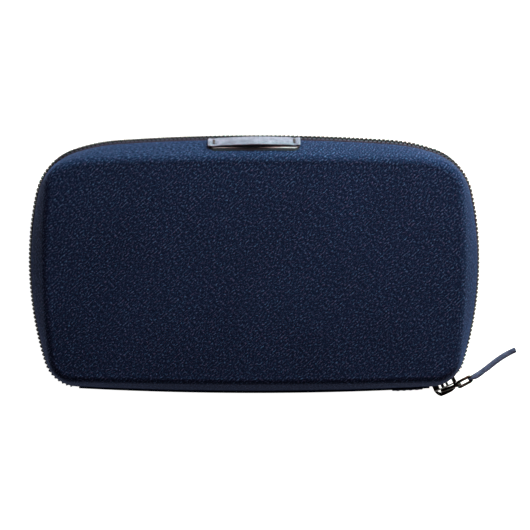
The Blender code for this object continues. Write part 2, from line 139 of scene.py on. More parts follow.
def makeTwill():
    # melange polyester twill, woven from mixed navy yarns: short slanting floats, pale and dark fibres side
    # by side, matt when seen straight on, with a blue glow of loose fibre ends where it turns away
    made, tree, shader = newMaterial("navyMelangeTwill", {
        "Roughness": 0.95, "Specular IOR Level": 0.08, "Sheen Weight": twill["sheen"],
        "Sheen Roughness": 0.35, "Sheen Tint": twill["sheenTint"]})
    flat = inMillimetres(tree, "cloth", turn=twill["ribTurn"])
    stroke = addNode(tree, "Mapping", {
        "Vector": flat, "Scale": (1 / twill["floatMm"], 1.25 / twill["strokeMm"], 1)})
    melange = addNode(tree, "TexNoise", {"Vector": stroke, "Scale": 1.55, "Detail": 1.5, "Roughness": 0.6})
    ribs = addNode(tree, "TexWave", {
        "Vector": flat, "Scale": 1 / twill["strokeMm"] / bandCount, "Distortion": 1.6, "Detail": 1.0,
        "Detail Scale": 0.8}, "Fac", bands_direction="Y")
    threads = addNode(tree, "TexWave", {
        "Vector": flat, "Scale": 1 / twill["threadMm"] / bandCount, "Distortion": 0.8, "Detail": 1.0}, "Fac")
    pale = addNode(tree, "MapRange", (melange, 0.50, 0.70))
    ridge = addNode(tree, "MapRange", (ribs, 0.0, 0.9, 0.25, 1.0))
    lit = addNode(tree, "Math", (pale, ridge), operation="MULTIPLY")
    fibre = addNode(tree, "MapRange", (threads, 0.0, 1.0, 0.7, 1.1))
    fine = addNode(tree, "Math", (lit, fibre), operation="MULTIPLY")
    deep = addNode(tree, "MapRange", (melange, 0.30, 0.5))
    ground = addNode(tree, "Mix", {0: deep, 6: twill["dark"], 7: twill["middle"]}, 2, data_type="RGBA")
    lots = addNode(tree, "TexNoise", {"Vector": stroke, "Scale": 0.8, "Detail": 1.0, "Roughness": 0.55})
    dyeLot = addNode(tree, "MapRange", (lots, 0.42, 0.60))
    yarn = addNode(tree, "Mix", {0: dyeLot, 6: twill["light"], 7: twill["rose"]}, 2, data_type="RGBA")
    coloured = addNode(tree, "Mix", {0: fine, 6: ground, 7: yarn}, 2, data_type="RGBA")
    clouds = addNode(tree, "TexNoise", {"Vector": flat, "Scale": 0.03, "Detail": 3.0, "Roughness": 0.55})
    cloudy = addNode(tree, "MapRange", (clouds, 0.3, 0.7, 0.9, 1.08))
    plug(tree, shader, {
        "Base Color": addNode(tree, "HueSaturation", {"Color": coloured, "Value": cloudy}),
        "Normal": addNode(tree, "Bump", {"Strength": 0.7, "Distance": 0.0002, "Height": fine})})
    return made


def makeWeave(name, dark, light, threadMm, roughness, uvName=None, turn=0.0, sheen=0.15):
    # plain weave: threads over and under each other, drawn a little coarser than life so that they show
    made, tree, shader = newMaterial(name, {
        "Roughness": roughness, "Specular IOR Level": 0.25, "Sheen Weight": sheen, "Sheen Roughness": 0.5})
    flat = inMillimetres(tree, uvName, turn)
    threads = [addNode(tree, "TexWave", {
        "Vector": flat, "Scale": 1 / threadMm / bandCount, "Distortion": 0.4, "Detail": 1.0,
        "Detail Scale": 1.5}, "Fac", bands_direction=way) for way in ("X", "Y")]
    crossed = addNode(tree, "Math", threads, operation="MULTIPLY")
    slubs = addNode(tree, "TexNoise", {"Vector": flat, "Scale": 0.25, "Detail": 4.0, "Roughness": 0.55})
    uneven = addNode(tree, "Math", (crossed, addNode(tree, "MapRange", (slubs, 0.3, 0.7, 0.7, 1.25))),
                     operation="MULTIPLY")
    plug(tree, shader, {
        "Base Color": addNode(tree, "Mix", {0: uneven, 6: dark, 7: light}, 2, data_type="RGBA"),
        "Normal": addNode(tree, "Bump", {"Strength": 0.7, "Distance": 0.00008, "Height": crossed})})
    return made


def makeRibbed(name, dark, light, ribMm):
    # grosgrain and knitted elastic: firm ribs across the ribbon's length
    made, tree, shader = newMaterial(name, {"Roughness": 0.72, "Specular IOR Level": 0.3, "Sheen Weight": 0.2})
    flat = inMillimetres(tree, "cloth")
    ribs = addNode(tree, "TexWave", {
        "Vector": flat, "Scale": 1 / ribMm / bandCount, "Distortion": 0.25, "Detail": 1.0}, "Fac")
    rub = addNode(tree, "TexNoise", {"Vector": flat, "Scale": 0.6, "Detail": 3.0, "Roughness": 0.55})
    worn = addNode(tree, "Math", (ribs, addNode(tree, "MapRange", (rub, 0.3, 0.7, 0.6, 1.2))),
                   operation="MULTIPLY")
    plug(tree, shader, {
        "Base Color": addNode(tree, "Mix", {0: worn, 6: dark, 7: light}, 2, data_type="RGBA"),
        "Normal": addNode(tree, "Bump", {"Strength": 0.6, "Distance": 0.00015, "Height": ribs})})
    return made


def makeLeather(name, base, pale, dark, roughness=0.5, gloss=0.45):
    # semi-aniline calf: a fine pebble of grain cells, colour that pools darker in the creases,
    # a paler bloom where it has been handled, and black paint along its cut edges, which on the grip tag's
    # slanted backing edge is a painted shadow
    made, tree, shader = newMaterial(name, {
        "Roughness": roughness, "Specular IOR Level": gloss, "Coat Weight": gloss * 0.18, "Coat Roughness": 0.35})
    spot = inMillimetres(tree)
    cells = addNode(tree, "TexVoronoi", {"Vector": spot, "Scale": 1.7}, feature="DISTANCE_TO_EDGE")
    crease = addNode(tree, "MapRange", (cells, 0.0, 0.16))
    handled = addNode(tree, "TexNoise", {"Vector": spot, "Scale": 0.35, "Detail": 4.0, "Roughness": 0.55})
    bloom = addNode(tree, "MapRange", (handled, 0.40, 0.68))
    body = addNode(tree, "Mix", {0: bloom, 6: base, 7: pale}, 2, data_type="RGBA")
    grained = addNode(tree, "Mix", {0: crease, 6: dark, 7: body}, 2, data_type="RGBA")
    # black edge paint where the piece's mask is set; on the tag backing's slant this black is a painted shadow of
    # the tag
    cutEdgeAndShadow = addNode(tree, "Attribute", out="Fac", attribute_name="edgePaintAndShadow")
    dull = addNode(tree, "TexNoise", {"Vector": spot, "Scale": 2.0, "Detail": 2.0, "Roughness": 0.55})
    pores = addNode(tree, "TexNoise", {"Vector": spot, "Scale": 4.0, "Detail": 2.0, "Roughness": 0.55})
    height = addNode(tree, "Math", (crease, pores), operation="ADD")
    plug(tree, shader, {
        "Base Color": addNode(tree, "Mix", {0: cutEdgeAndShadow, 6: grained, 7: "11131b"}, 2, data_type="RGBA"),
        "Roughness": addNode(tree, "MapRange", (dull, 0.3, 0.7, roughness - 0.08, roughness + 0.1)),
        "Normal": addNode(tree, "Bump", {"Strength": 0.55, "Distance": 0.00006, "Height": height})})
    return made


def makeNickel():
    # black nickel plate over die-cast zinc: near-black mirror with fine handling scratches and a warm cast
    made, tree, shader = newMaterial("blackNickelZinc", {"Metallic": 1.0})
    spot = inMillimetres(tree, None, turn=20, stretch=(1.0, 7.0, 1.0))
    scratch = addNode(tree, "TexNoise", {"Vector": spot, "Scale": 1.4, "Detail": 4.0, "Roughness": 0.7})
    worn = addNode(tree, "MapRange", (scratch, 0.52, 0.8))
    plug(tree, shader, {
        "Base Color": addNode(tree, "Mix", {0: worn, 6: "26211e", 7: "6b6058"}, 2, data_type="RGBA"),
        "Roughness": addNode(tree, "MapRange", (scratch, 0.3, 0.75, 0.12, 0.34)),
        "Normal": addNode(tree, "Bump", {"Strength": 0.3, "Distance": 0.00002, "Height": scratch})})
    return made


def makeNylon():
    # extruded polyamide monofilament, set into a coil: black, smooth, a soft gloss along each loop
    made, tree, shader = newMaterial("blackNylonCoil", {"Specular IOR Level": 0.2})
    spot = inMillimetres(tree)
    dust = addNode(tree, "TexNoise", {"Vector": spot, "Scale": 1.2, "Detail": 3.0, "Roughness": 0.55})
    dusty = addNode(tree, "MapRange", (dust, 0.35, 0.7))
    plug(tree, shader, {
        "Base Color": addNode(tree, "Mix", {0: dusty, 6: "030304", 7: "0c0c10"}, 2, data_type="RGBA"),
        "Roughness": addNode(tree, "MapRange", (dusty, 0.0, 1.0, 0.42, 0.6))})
    return made


def makeThread(name, colour, pale):
    # bonded polyester thread: twisted plies that catch the light as slanting lines
    made, tree, shader = newMaterial(name, {"Roughness": 0.6, "Specular IOR Level": 0.4})
    spot = inMillimetres(tree, turn=35)
    plies = addNode(tree, "TexWave", {"Vector": spot, "Scale": 1.1, "Distortion": 0.6}, "Fac")
    plug(tree, shader, {
        "Base Color": addNode(tree, "Mix", {0: plies, 6: colour, 7: pale}, 2, data_type="RGBA"),
        "Normal": addNode(tree, "Bump", {"Strength": 0.5, "Distance": 0.00005, "Height": plies})})
    return made


def makeFoam():
    # cross-linked closed-cell foam, moulded: charcoal, skinned, with pinholes
    made, tree, shader = newMaterial("charcoalMouldedFoam", {"Roughness": 0.9, "Specular IOR Level": 0.2})
    cells = addNode(tree, "TexVoronoi", {"Vector": inMillimetres(tree), "Scale": 1.6})
    plug(tree, shader, {
        "Base Color": addNode(tree, "Mix", {0: cells, 6: "26262b", 7: "3c3c42"}, 2, data_type="RGBA"),
        "Normal": addNode(tree, "Bump", {"Strength": 0.5, "Distance": 0.0001, "Height": cells})})
    return made


def makeSpeckled(name, values, dark, pale, speck):
    # a plain ground with soft specks of a paler tone; speck is (scale, detail, roughness)
    made, tree, shader = newMaterial(name, values)
    noisy = addNode(tree, "TexNoise", {"Vector": inMillimetres(tree), "Scale": speck[0], "Detail": speck[1],
                                       "Roughness": speck[2]})
    specks = addNode(tree, "MapRange", (noisy, 0.35, 0.7))
    tone = addNode(tree, "Mix", {0: specks, 6: dark, 7: pale}, 2, data_type="RGBA")
    tree.links.new(tone, shader.inputs["Base Color"])
    return made


navyTwill = makeTwill()
slateLining = makeWeave("slatePlainWeaveLining", "2b3646", "52617a", 0.55, 0.8)
tapeWeave = makeWeave("blackHerringboneTape", "040406", "0f0f14", 0.5, 0.85, "cloth", 45, sheen=0.03)
# tape's folded edge: its plum-lilac tone is a painted highlight of the light from above along the fold
selvedgeWeaveAndHighlight = makeWeave("plumTapeEdgePaintedHighlight", "14101f", "3a3357", 0.7, 0.6, "cloth", 45)
grosgrain = makeRibbed("charcoalGrosgrain", "0c0e14", "272b38", 0.9)
elastic = makeRibbed("charcoalKnittedElastic", "101219", "2b2f3e", 1.3)
pullLeather = makeLeather("darkSlateCalfPull", "2a2d48", "41435f", "16182a", 0.75, 0.1)
pocketLeather = makeLeather("slateCalfPockets", "2c3850", "3d4a66", "182030", 0.55)
tagLeather = makeLeather("paleSlateCalf", "535064", "736c82", "353246", 0.5, 0.3)
backingLeather = makeLeather("greyCalfBacking", "94929a", "b0aeb4", "5b5b64", 0.75, 0.08)
blackNickel = makeNickel()
blackNylon = makeNylon()
slateThread = makeThread("slateBondedThread", "39425c", "6d7896")
tackThread = makeThread("plumBondedThread", "1b1016", "43303a")
blackThread = makeThread("blackBondedThread", "0b0b10", "23232d")
pullThread = makeThread("darkSlateBondedThread", "1f2136", "33354d")
foam = makeFoam()
# knitted polyester net: smooth dark filaments
net = makeSpeckled("knittedPolyesterNet", {"Roughness": 0.5, "Specular IOR Level": 0.4}, "151a26", "2c3448",
                   (2.5, 3.0, 0.55))
# grey fibre stiffener board: pressed pulp with flecks
board = makeSpeckled("greyFibreBoard", {"Roughness": 0.9}, "6d665d", "9a9186", (1.5, 5.0, 0.7))
for node, finish in (("back_foam_shell", foam), ("front_foam_shell", foam), ("spine_board", board)):
    frame["nodes"][node].data.materials.clear()
    frame["nodes"][node].data.materials.append(finish)
print("materials made")


# Outlines: tangent arcs from the top centre, clockwise, closed by a last arc along the bottom

outlines = {
    "rim": {
        "top": 57.8 * mm,
        "bottomTurn": 3.2,
        "arcs": ((877, 4.0), (75, 15.4), (25.8, 58.1), (146, 12.5), (161, 16.5), (15.4, 70.3)),
    },
    "face": {
        "top": 51.4 * mm,
        "bottomTurn": 1.5,
        "arcs": ((2800, 1.53), (41, 16.47), (9.3, 67.0), (420, 5.0), (500, 5.1), (10.5, 83.4)),
    },
    "steps": (26, 10, 14, 10, 12, 18, 26),
}
depths = {
    "whole": 40 * mm,
    "shell": 14 * mm,
    "edge": 4.5 * mm,
    "cloth": 1.0 * mm,
    "liningFrom": 4.0 * mm,
    "liningTo": 4.6 * mm,
}
middle = depths["whole"] / 2


def arcChain(plan):
    chain = []
    x, y, heading = 0.0, plan["top"], 0.0
    arcs = [(radius * mm, math.radians(turn)) for radius, turn in plan["arcs"]]
    for index in range(len(arcs) + 1):
        closing = math.radians(plan["bottomTurn"])
        radius, turn = arcs[index] if index < len(arcs) else (x / math.sin(closing), closing)
        chain.append({"x": x, "y": y, "heading": heading, "radius": radius, "turn": turn})
        x += radius * (math.sin(heading + turn) - math.sin(heading))
        y += radius * (math.cos(heading + turn) - math.cos(heading))
        heading += turn
    return chain


def station(chain, index, share, side=1):
    # a point on the outline, the way out of it, and its heading; side -1 is the left-hand half
    arc = chain[index]
    heading = arc["heading"] + arc["turn"] * share
    x = arc["x"] + arc["radius"] * (math.sin(heading) - math.sin(arc["heading"]))
    y = arc["y"] + arc["radius"] * (math.cos(heading) - math.cos(arc["heading"]))
    return Vector((side * x, y, 0)), Vector((side * math.sin(heading), math.cos(heading), 0))


def wholeLoop(chain, steps):
    half = [(index, k / count) for index, count in enumerate(steps) for k in range(count)]
    right = [station(chain, index, share) for index, share in half]
    left = [station(chain, index, share, -1) for index, share in half[1:]]
    return right + [station(chain, len(steps) - 1, 1.0)] + left[::-1]


def lengthTo(chain, degrees):
    total = 0.0
    for arc in chain:
        turned = min(max(math.radians(degrees) - arc["heading"], 0.0), arc["turn"])
        total += arc["radius"] * turned
    return total


def atLength(chain, distance):
    # the station at a distance from the top centre, to the right if positive
    left = abs(distance)
    for index, arc in enumerate(chain):
        span = arc["radius"] * arc["turn"]
        if left <= span or index == len(chain) - 1:
            return station(chain, index, left / span, 1 if distance >= 0 else -1)
        left -= span


rimChain = arcChain(outlines["rim"])
faceChain = arcChain(outlines["face"])
rimLoop = wholeLoop(rimChain, outlines["steps"])
faceLoop = wholeLoop(faceChain, outlines["steps"])


# Making meshes

def growLoop(bm, loop, places, closed=True):
    # extrudes a run of vertices and moves the new ones to their places
    pairs = list(zip(loop, loop[1:])) + ([(loop[-1], loop[0])] if closed else [])
    edges = [bm.edges.get(pair) for pair in pairs]
    fresh = {g for g in bmesh.ops.extrude_edge_only(bm, edges=edges)["geom"] if isinstance(g, bmesh.types.BMVert)}
    grown = [next(e.other_vert(v) for e in v.link_edges if e.other_vert(v) in fresh) for v in loop]
    for vert, place in zip(grown, places):
        vert.co = place
    return grown


def startLoop(bm, places, closed=True):
    loop = [bm.verts.new(place) for place in places]
    for a, b in zip(loop, loop[1:] + (loop[:1] if closed else [])):
        bm.edges.new((a, b))
    return loop


def loft(bm, rings, capped=True):
    # carries a closed loop of vertices through rings of places, and closes its two ends
    loops = [startLoop(bm, rings[0])]
    for places in rings[1:]:
        loops.append(growLoop(bm, loops[-1], places))
    if capped:
        capLoop(bm, loops[0])
        capLoop(bm, loops[-1])
    return loops


def loopEdges(bm, loop):
    return [bm.edges.get((a, b)) for a, b in zip(loop, loop[1:] + loop[:1])]


def capLoop(bm, loop):
    bmesh.ops.contextual_create(bm, geom=loopEdges(bm, loop))


def layCloth(bm, spots, around=None):
    # writes the unrolled place of each vertex, in metres, to the UV map; around is the length of a wrap
    layer = bm.loops.layers.uv.new("cloth")
    for face in bm.faces:
        last = None
        for corner in face.loops:
            u, v = spots[corner.vert]
            if around and last is not None and abs(v - last) > around / 2:
                v += around if v < last else -around
            corner[layer].uv = (u, v)
            last = v


def unroll(bm, loops, walked, section):
    # a strip's cloth: its length one way, and the way round its section the other
    reaches = [0.0]
    for a, b in zip(section, section[1:] + section[:1]):
        reaches.append(reaches[-1] + math.dist(a, b))
    spots = {}
    for loop, length in zip(loops, walked):
        for vert, reach in zip(loop, reaches):
            spots[vert] = (length, reach)
    layCloth(bm, spots, reaches[-1])


def keep(name, bm, material, body, nodes=(), flip=True, sharp=40):
    if flip:
        bmesh.ops.recalc_face_normals(bm, faces=bm.faces)
    mesh = bpy.data.meshes.new(name)
    bm.to_mesh(mesh)
    bm.free()
    mesh.materials.append(material)
    mesh.shade_smooth()
    mesh.set_sharp_from_angle(angle=math.radians(sharp))
    piece = bpy.data.objects.new(name, mesh)
    scene.collection.objects.link(piece)
    if body:
        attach(piece, body)
    if nodes:
        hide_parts(*nodes)
    return piece


def rounded(piece, width, segments=3, angle=40):
    made = piece.modifiers.new("rounded", "BEVEL")
    made.width = width
    made.segments = segments
    made.limit_method = "ANGLE"
    made.angle_limit = math.radians(angle)
    made.harden_normals = True
    return piece


def wire(name, places, radius, material, body, nodes=(), closed=False, sides=1):
    # a round wire along places, as a mesh
    line = bpy.data.curves.new(name, "CURVE")
    line.dimensions = "3D"
    line.bevel_depth = radius
    line.bevel_resolution = sides
    line.use_fill_caps = True
    run = line.splines.new("POLY")
    run.points.add(len(places) - 1)
    for point, place in zip(run.points, places):
        point.co = (*place, 1.0)
    run.use_cyclic_u = closed
    holder = bpy.data.objects.new(name + ".line", line)
    scene.collection.objects.link(holder)
    bpy.context.view_layer.update()
    bm = bmesh.new()
    bm.from_mesh(holder.evaluated_get(bpy.context.evaluated_depsgraph_get()).to_mesh())
    bpy.data.objects.remove(holder)
    bmesh.ops.remove_doubles(bm, verts=bm.verts, dist=radius / 50)
    return keep(name, bm, material, body, nodes)


def stitch(bm, centre, along, up, length, radius):
    # one stitch: a flattened bead lying along the seam
    side = up.cross(along).normalized()
    rows = (along.normalized() * length / 2, side * radius, up.normalized() * radius)
    turn = Matrix(rows).transposed().to_4x4()
    bmesh.ops.create_uvsphere(bm, u_segments=6, v_segments=4, radius=1.0,
                              matrix=Matrix.Translation(centre) @ turn @ Matrix.Rotation(math.pi / 2, 4, "Y"))


def stitchLine(bm, a, b, up, pitch=3.0 * mm, length=2.2 * mm, radius=0.28 * mm):
    run = b - a
    count = max(1, round(run.length / pitch))
    for k in range(count):
        stitch(bm, a + run * ((k + 0.5) / count), run, up, length, radius)


# Half shells

shellLook = {
    "crown": 0.45 * mm,  # how far the face falls away towards its edges
    "bulge": 0.30 * mm,  # fullness of the wall
    "roll": 0.75 * mm,  # radius of the cloth's turned edge at the rim
    "wallRings": 7,
    "edgeRings": 7,
    "faceShares": (1.0, 0.8, 0.62, 0.46, 0.32, 0.2, 0.11, 0.05, 0.02, 0.0),
    "rollBends": (25, 50, 75, 90),  # degrees
    "lip": 1.25 * mm,  # how far the turned cloth lies over the rim
    "unevenness": 0.07 * mm,
    "swells": (38, 90),  # to the metre, broad and fine
}


def column(index):
    facePoint, faceOut = faceLoop[index]
    rimPoint, rimOut = rimLoop[index]
    out = (faceOut + rimOut).normalized()
    run = (rimPoint - facePoint).dot(out)
    return facePoint, rimPoint, out, run, math.atan2(run, depths["shell"])


columns = [column(index) for index in range(len(rimLoop))]


def placed(col, inset, z, front):
    facePoint, rimPoint, out, run, _ = col
    share = z / depths["shell"]
    point = facePoint.lerp(rimPoint, share) - (run * share + inset) * out
    return Vector((point.x, point.y, depths["whole"] - z if front else z))


def wallInset(col, depth, z):
    _, _, _, run, lean = col
    return depth / math.cos(lean) - run * z / depths["shell"]


def profileOf(col, depth):
    # (inset from the face outline, height) from the edge of the flat to the rim
    _, _, _, run, lean = col
    radius = max(depths["edge"] - depth, 0.8 * mm)
    turn = math.pi / 2 - lean
    reach = (depth + radius) * math.tan(turn / 2)
    outside = depth == 0
    points = []
    for k in range(shellLook["edgeRings"] + 1):
        share = k / shellLook["edgeRings"]
        fall = shellLook["crown"] * (1 - share) ** 2 if outside else 0
        bend = turn * share
        points.append((reach - radius * math.sin(bend), depth + fall + radius * (1 - math.cos(bend))))
    low = points[-1][1]
    top = depths["shell"] - (shellLook["roll"] if outside else 0)
    for k in range(1, shellLook["wallRings"] + 1):
        share = k / shellLook["wallRings"]
        z = low + (top - low) * share
        swell = shellLook["bulge"] * math.sin(math.pi * share) if outside else 0
        points.append((wallInset(col, depth, z) - swell, z))
    return points


def skin(bm, spots, depth, front):
    # one skin of a half shell, from the middle of its face out to the rim; returns the rim's vertices
    profiles = [profileOf(col, depth) for col in columns]
    edge = [placed(col, profile[0][0], profile[0][1], front) for col, profile in zip(columns, profiles)]
    loop = None
    for share in shellLook["faceShares"]:
        fall = shellLook["crown"] * (1 - share) ** 3 if depth == 0 else 0
        z = depth + fall
        ring = []
        for point in edge:
            spine = Vector((point.x * 0.46, point.y * 0.03, 0))
            inner = Vector((point.x, point.y, 0)).lerp(spine, share)
            ring.append(Vector((inner.x, inner.y, depths["whole"] - z if front else z)))
        if loop is None:
            loop = startLoop(bm, ring)
            capLoop(bm, loop)
        else:
            loop = growLoop(bm, loop, ring)
        for vert in loop:
            spots[vert] = (vert.co.x, vert.co.y)
    walked = [0.0] * len(columns)
    for step in range(1, len(profiles[0])):
        before = [vert.co.copy() for vert in loop]
        places = [placed(col, *profile[step], front) for col, profile in zip(columns, profiles)]
        loop = growLoop(bm, loop, places)
        for i, vert in enumerate(loop):
            walked[i] += (vert.co - before[i]).length
            flat = edge[i] + columns[i][2] * walked[i]
            spots[vert] = (flat.x, flat.y)
    return loop


def ringOn(bm, spots, loop, insetAndZ, front):
    # carries a skin on from the rim by an inset from the wall's own line, at a height
    before = [vert.co.copy() for vert in loop]
    start = [spots[vert] for vert in loop]
    places = [placed(col, wallInset(col, 0, insetAndZ[1]) + insetAndZ[0], insetAndZ[1], front) for col in columns]
    grown = growLoop(bm, loop, places)
    for i, vert in enumerate(grown):
        way = columns[i][2] * (vert.co - before[i]).length
        spots[vert] = (start[i][0] + way.x, start[i][1] + way.y)
    return grown


def makeCover(side, front):
    bm = bmesh.new()
    spots = {}
    loop = skin(bm, spots, 0, front)
    roll = shellLook["roll"]
    for bend in shellLook["rollBends"]:
        turned = math.radians(bend)
        height = depths["shell"] - roll + roll * math.sin(turned)
        loop = ringOn(bm, spots, loop, (roll * (1 - math.cos(turned)), height), front)
    loop = ringOn(bm, spots, loop, (shellLook["lip"], depths["shell"] - 0.05 * mm), front)
    innerRim = skin(bm, spots, depths["cloth"], front)
    bmesh.ops.bridge_loops(bm, edges=loopEdges(bm, loop) + loopEdges(bm, innerRim))
    bmesh.ops.recalc_face_normals(bm, faces=bm.faces)
    bm.normal_update()
    broad, small = shellLook["swells"]
    for vert in bm.verts:
        swell = noise.noise(vert.co * broad) + 0.5 * noise.noise(vert.co * small)
        if not front and vert.co.z < 0.5 * mm:
            swell = 0
        vert.co += vert.normal * swell * shellLook["unevenness"]
    layCloth(bm, spots)
    cover = keep(f"{side}Cover", bm, navyTwill, side, (f"{side}_cover_fabric",), flip=False,
                 sharp=60)
    return cover


def makeLining(side, front):
    bm = bmesh.new()
    spots = {}
    outer = skin(bm, spots, depths["liningFrom"], front)
    inner = skin(bm, spots, depths["liningTo"], front)
    rim = growLoop(bm, outer, [vert.co.copy() for vert in inner])
    for vert, twin in zip(rim, inner):
        spots[vert] = spots[twin]
    layCloth(bm, spots)
    bmesh.ops.remove_doubles(bm, verts=bm.verts, dist=0.001 * mm)
    return keep(f"{side}Lining", bm, slateLining, side, (f"{side}_lining",))


for side, front in (("back", False), ("front", True)):
    makeCover(side, front)
    makeLining(side, front)
print("half shells made")


# Strips that run along the outline

def sweepRim(name, stations, section, material, body, nodes=(), closed=False, front=False, sharp=50):
    # a closed section of (inset, z) corners carried along stations of the rim
    bm = bmesh.new()
    walked, rings = [0.0], []
    for (a, _), (b, _) in zip(stations, stations[1:]):
        walked.append(walked[-1] + (b - a).length)
    for point, out in stations:
        corners = [(point - inset * out, z) for inset, z in section]
        rings.append([Vector((spot.x, spot.y, depths["whole"] - z if front else z)) for spot, z in corners])
    loops = loft(bm, rings, capped=not closed)
    if closed:
        bmesh.ops.bridge_loops(bm, edges=loopEdges(bm, loops[0]) + loopEdges(bm, loops[-1]))
    unroll(bm, loops, walked, section)
    return keep(name, bm, material, body, nodes, sharp=sharp)


def rimRun(fromDegrees, toDegrees, step):
    # evenly spaced stations from one heading on the left to another on the right
    start, end = -lengthTo(rimChain, fromDegrees), lengthTo(rimChain, toDegrees)
    count = max(2, round((end - start) / step))
    return [atLength(rimChain, start + (end - start) * k / count) for k in range(count + 1)]


bindingLook = {
    "thick": 0.55 * mm,
    "down": 2.7 * mm,
    "over": 0.18 * mm,
    "rim": 2.35 * mm,  # where it starts on the rim
    "wall": 5.35 * mm,  # the inner wall that it turns down
    "lean": 0.42 * mm,
}


def makeBinding(side, front):
    # ribbon folded over the raw seam: flat on the rim, then down the inner wall
    thick, top = bindingLook["thick"], depths["shell"] + bindingLook["over"]
    low = depths["shell"] - bindingLook["down"]
    rim, wall, lean = bindingLook["rim"], bindingLook["wall"], bindingLook["lean"]
    section = [
        (rim, top - 0.15 * mm),
        (rim + 0.15 * mm, top),
        (wall + 0.1 * mm, top),
        (wall + thick, top - 0.45 * mm),
        (wall + thick + lean, low),
        (wall + thick * 0.4 + lean, low - 0.1 * mm),
        (wall - 0.25 * mm, top - 0.6 * mm),
        (rim + 0.05 * mm, top - 0.4 * mm),
    ]
    sweepRim(f"{side}SeamBinding", rimLoop, section, grosgrain, side, (f"{side}_seam_binding",),
             closed=True, front=front)


zipLook = {
    "pitch": 1.95 * mm,  # size 8 coil
    "wire": 0.35 * mm,
    "startHeading": 173.0,
    "backEnd": 173.0,
    "frontEnd": 131.0,  # the front row leaves the slider free to stay with the back half
    "tapeIn": 2.2 * mm,
    "tapeOut": 1.4 * mm,
    "toothPath": (  # (share of the pitch, outwards, away from the middle of the chain)
        (-0.30, -0.65, 2.55),
        (-0.14, 0.30, 2.80),
        (-0.02, 0.60, 2.10),
        (0.00, 0.62, 0.20),
        (0.03, 0.30, -0.42),
        (0.10, -0.40, -0.38),
        (0.24, -0.70, 0.50),
        (0.48, -0.75, 2.00),
    ),
}


def makeTeeth(side, front, end):
    start = -lengthTo(rimChain, zipLook["startHeading"])
    stop = lengthTo(rimChain, end)
    pitch = zipLook["pitch"]
    half = 0.5 if front else 0.0  # the two rows mesh half a pitch apart
    away = 1 if front else -1
    lift = 0.34 * mm if front else 0.24 * mm  # the upper row stands proud, so its teeth show one by one
    places = []
    for tooth in range(int((stop - start) / pitch - 1)):
        for share, outward, high in zipLook["toothPath"]:
            point, out = atLength(rimChain, start + pitch * (tooth + 0.5 + half + share))
            place = point + out * (outward * mm + lift)
            places.append(Vector((place.x, place.y, middle + away * high * mm)))
    wire(f"{side}ZipTeeth", places, zipLook["wire"], blackNylon, side, (f"{side}_zip_coil",))


def makeTape(side, front, end):
    low, high = depths["shell"] - 0.1 * mm, middle - 0.55 * mm
    section = [
        (zipLook["tapeOut"], low),
        (zipLook["tapeOut"], high - 0.2 * mm),
        (zipLook["tapeOut"] + 0.2 * mm, high),
        (zipLook["tapeIn"] - 0.2 * mm, high),
        (zipLook["tapeIn"], high - 0.2 * mm),
        (zipLook["tapeIn"], low),
    ]
    sweepRim(f"{side}ZipTape", rimRun(176.0 if not front else zipLook["startHeading"], end, 2.5 * mm), section,
             tapeWeave, side, (f"{side}_zip_tape",), front=front)
    bm = bmesh.new()
    stations = rimRun(zipLook["startHeading"], end - 2, 3.0 * mm)
    z = depths["shell"] + 0.95 * mm
    for (a, out), (b, _) in zip(stations, stations[1:]):
        centre = (a + b) / 2 - out * (zipLook["tapeOut"] - 0.08 * mm)
        centre.z = depths["whole"] - z if front else z
        stitch(bm, centre, b - a, out, 2.2 * mm, 0.26 * mm)
    keep(f"{side}TapeStitches", bm, blackThread, side)


def makeSelvedge(side, front, end):
    # the tape's folded edge, sewn down over the inner half of the coil; its plum-lilac tone is a painted
    # highlight along the fold
    near, far = middle - 2.95 * mm, middle - 2.15 * mm
    section = [
        (1.45 * mm, near), (0.3 * mm, near), (-0.25 * mm, near + 0.12 * mm), (-0.45 * mm, (near + far) / 2),
        (-0.25 * mm, far - 0.12 * mm), (0.3 * mm, far), (1.45 * mm, far)]
    stations = rimRun(zipLook["startHeading"], end, 2.2 * mm)
    sweepRim(f"{side}ZipSelvedge", stations, section, selvedgeWeaveAndHighlight, side, front=front, sharp=60)


for side, front in (("back", False), ("front", True)):
    makeBinding(side, front)
    makeTape(side, front, zipLook["frontEnd"] if front else 176.0)
    makeTeeth(side, front, zipLook["frontEnd"] if front else zipLook["backEnd"])
    makeSelvedge(side, front, zipLook["frontEnd"])
print("zip made")


# Spine: cloth over a board, and a soft crease at each long edge

spineLook = {"half": 76.5 * mm, "thick": 1.1 * mm, "crease": 1.9 * mm}
bottomArc = rimChain[-1]


def bottomRun(fromX, toX, step):
    centre = Vector((0, bottomArc["y"] - bottomArc["radius"] * math.cos(bottomArc["heading"]), 0))
    count = max(2, round(abs(toX - fromX) / step))
    made = []
    for k in range(count + 1):
        x = fromX + (toX - fromX) * k / count
        lean = math.asin(x / bottomArc["radius"])
        out = Vector((math.sin(lean), -math.cos(lean), 0))
        made.append((centre + out * bottomArc["radius"], out))
    return made


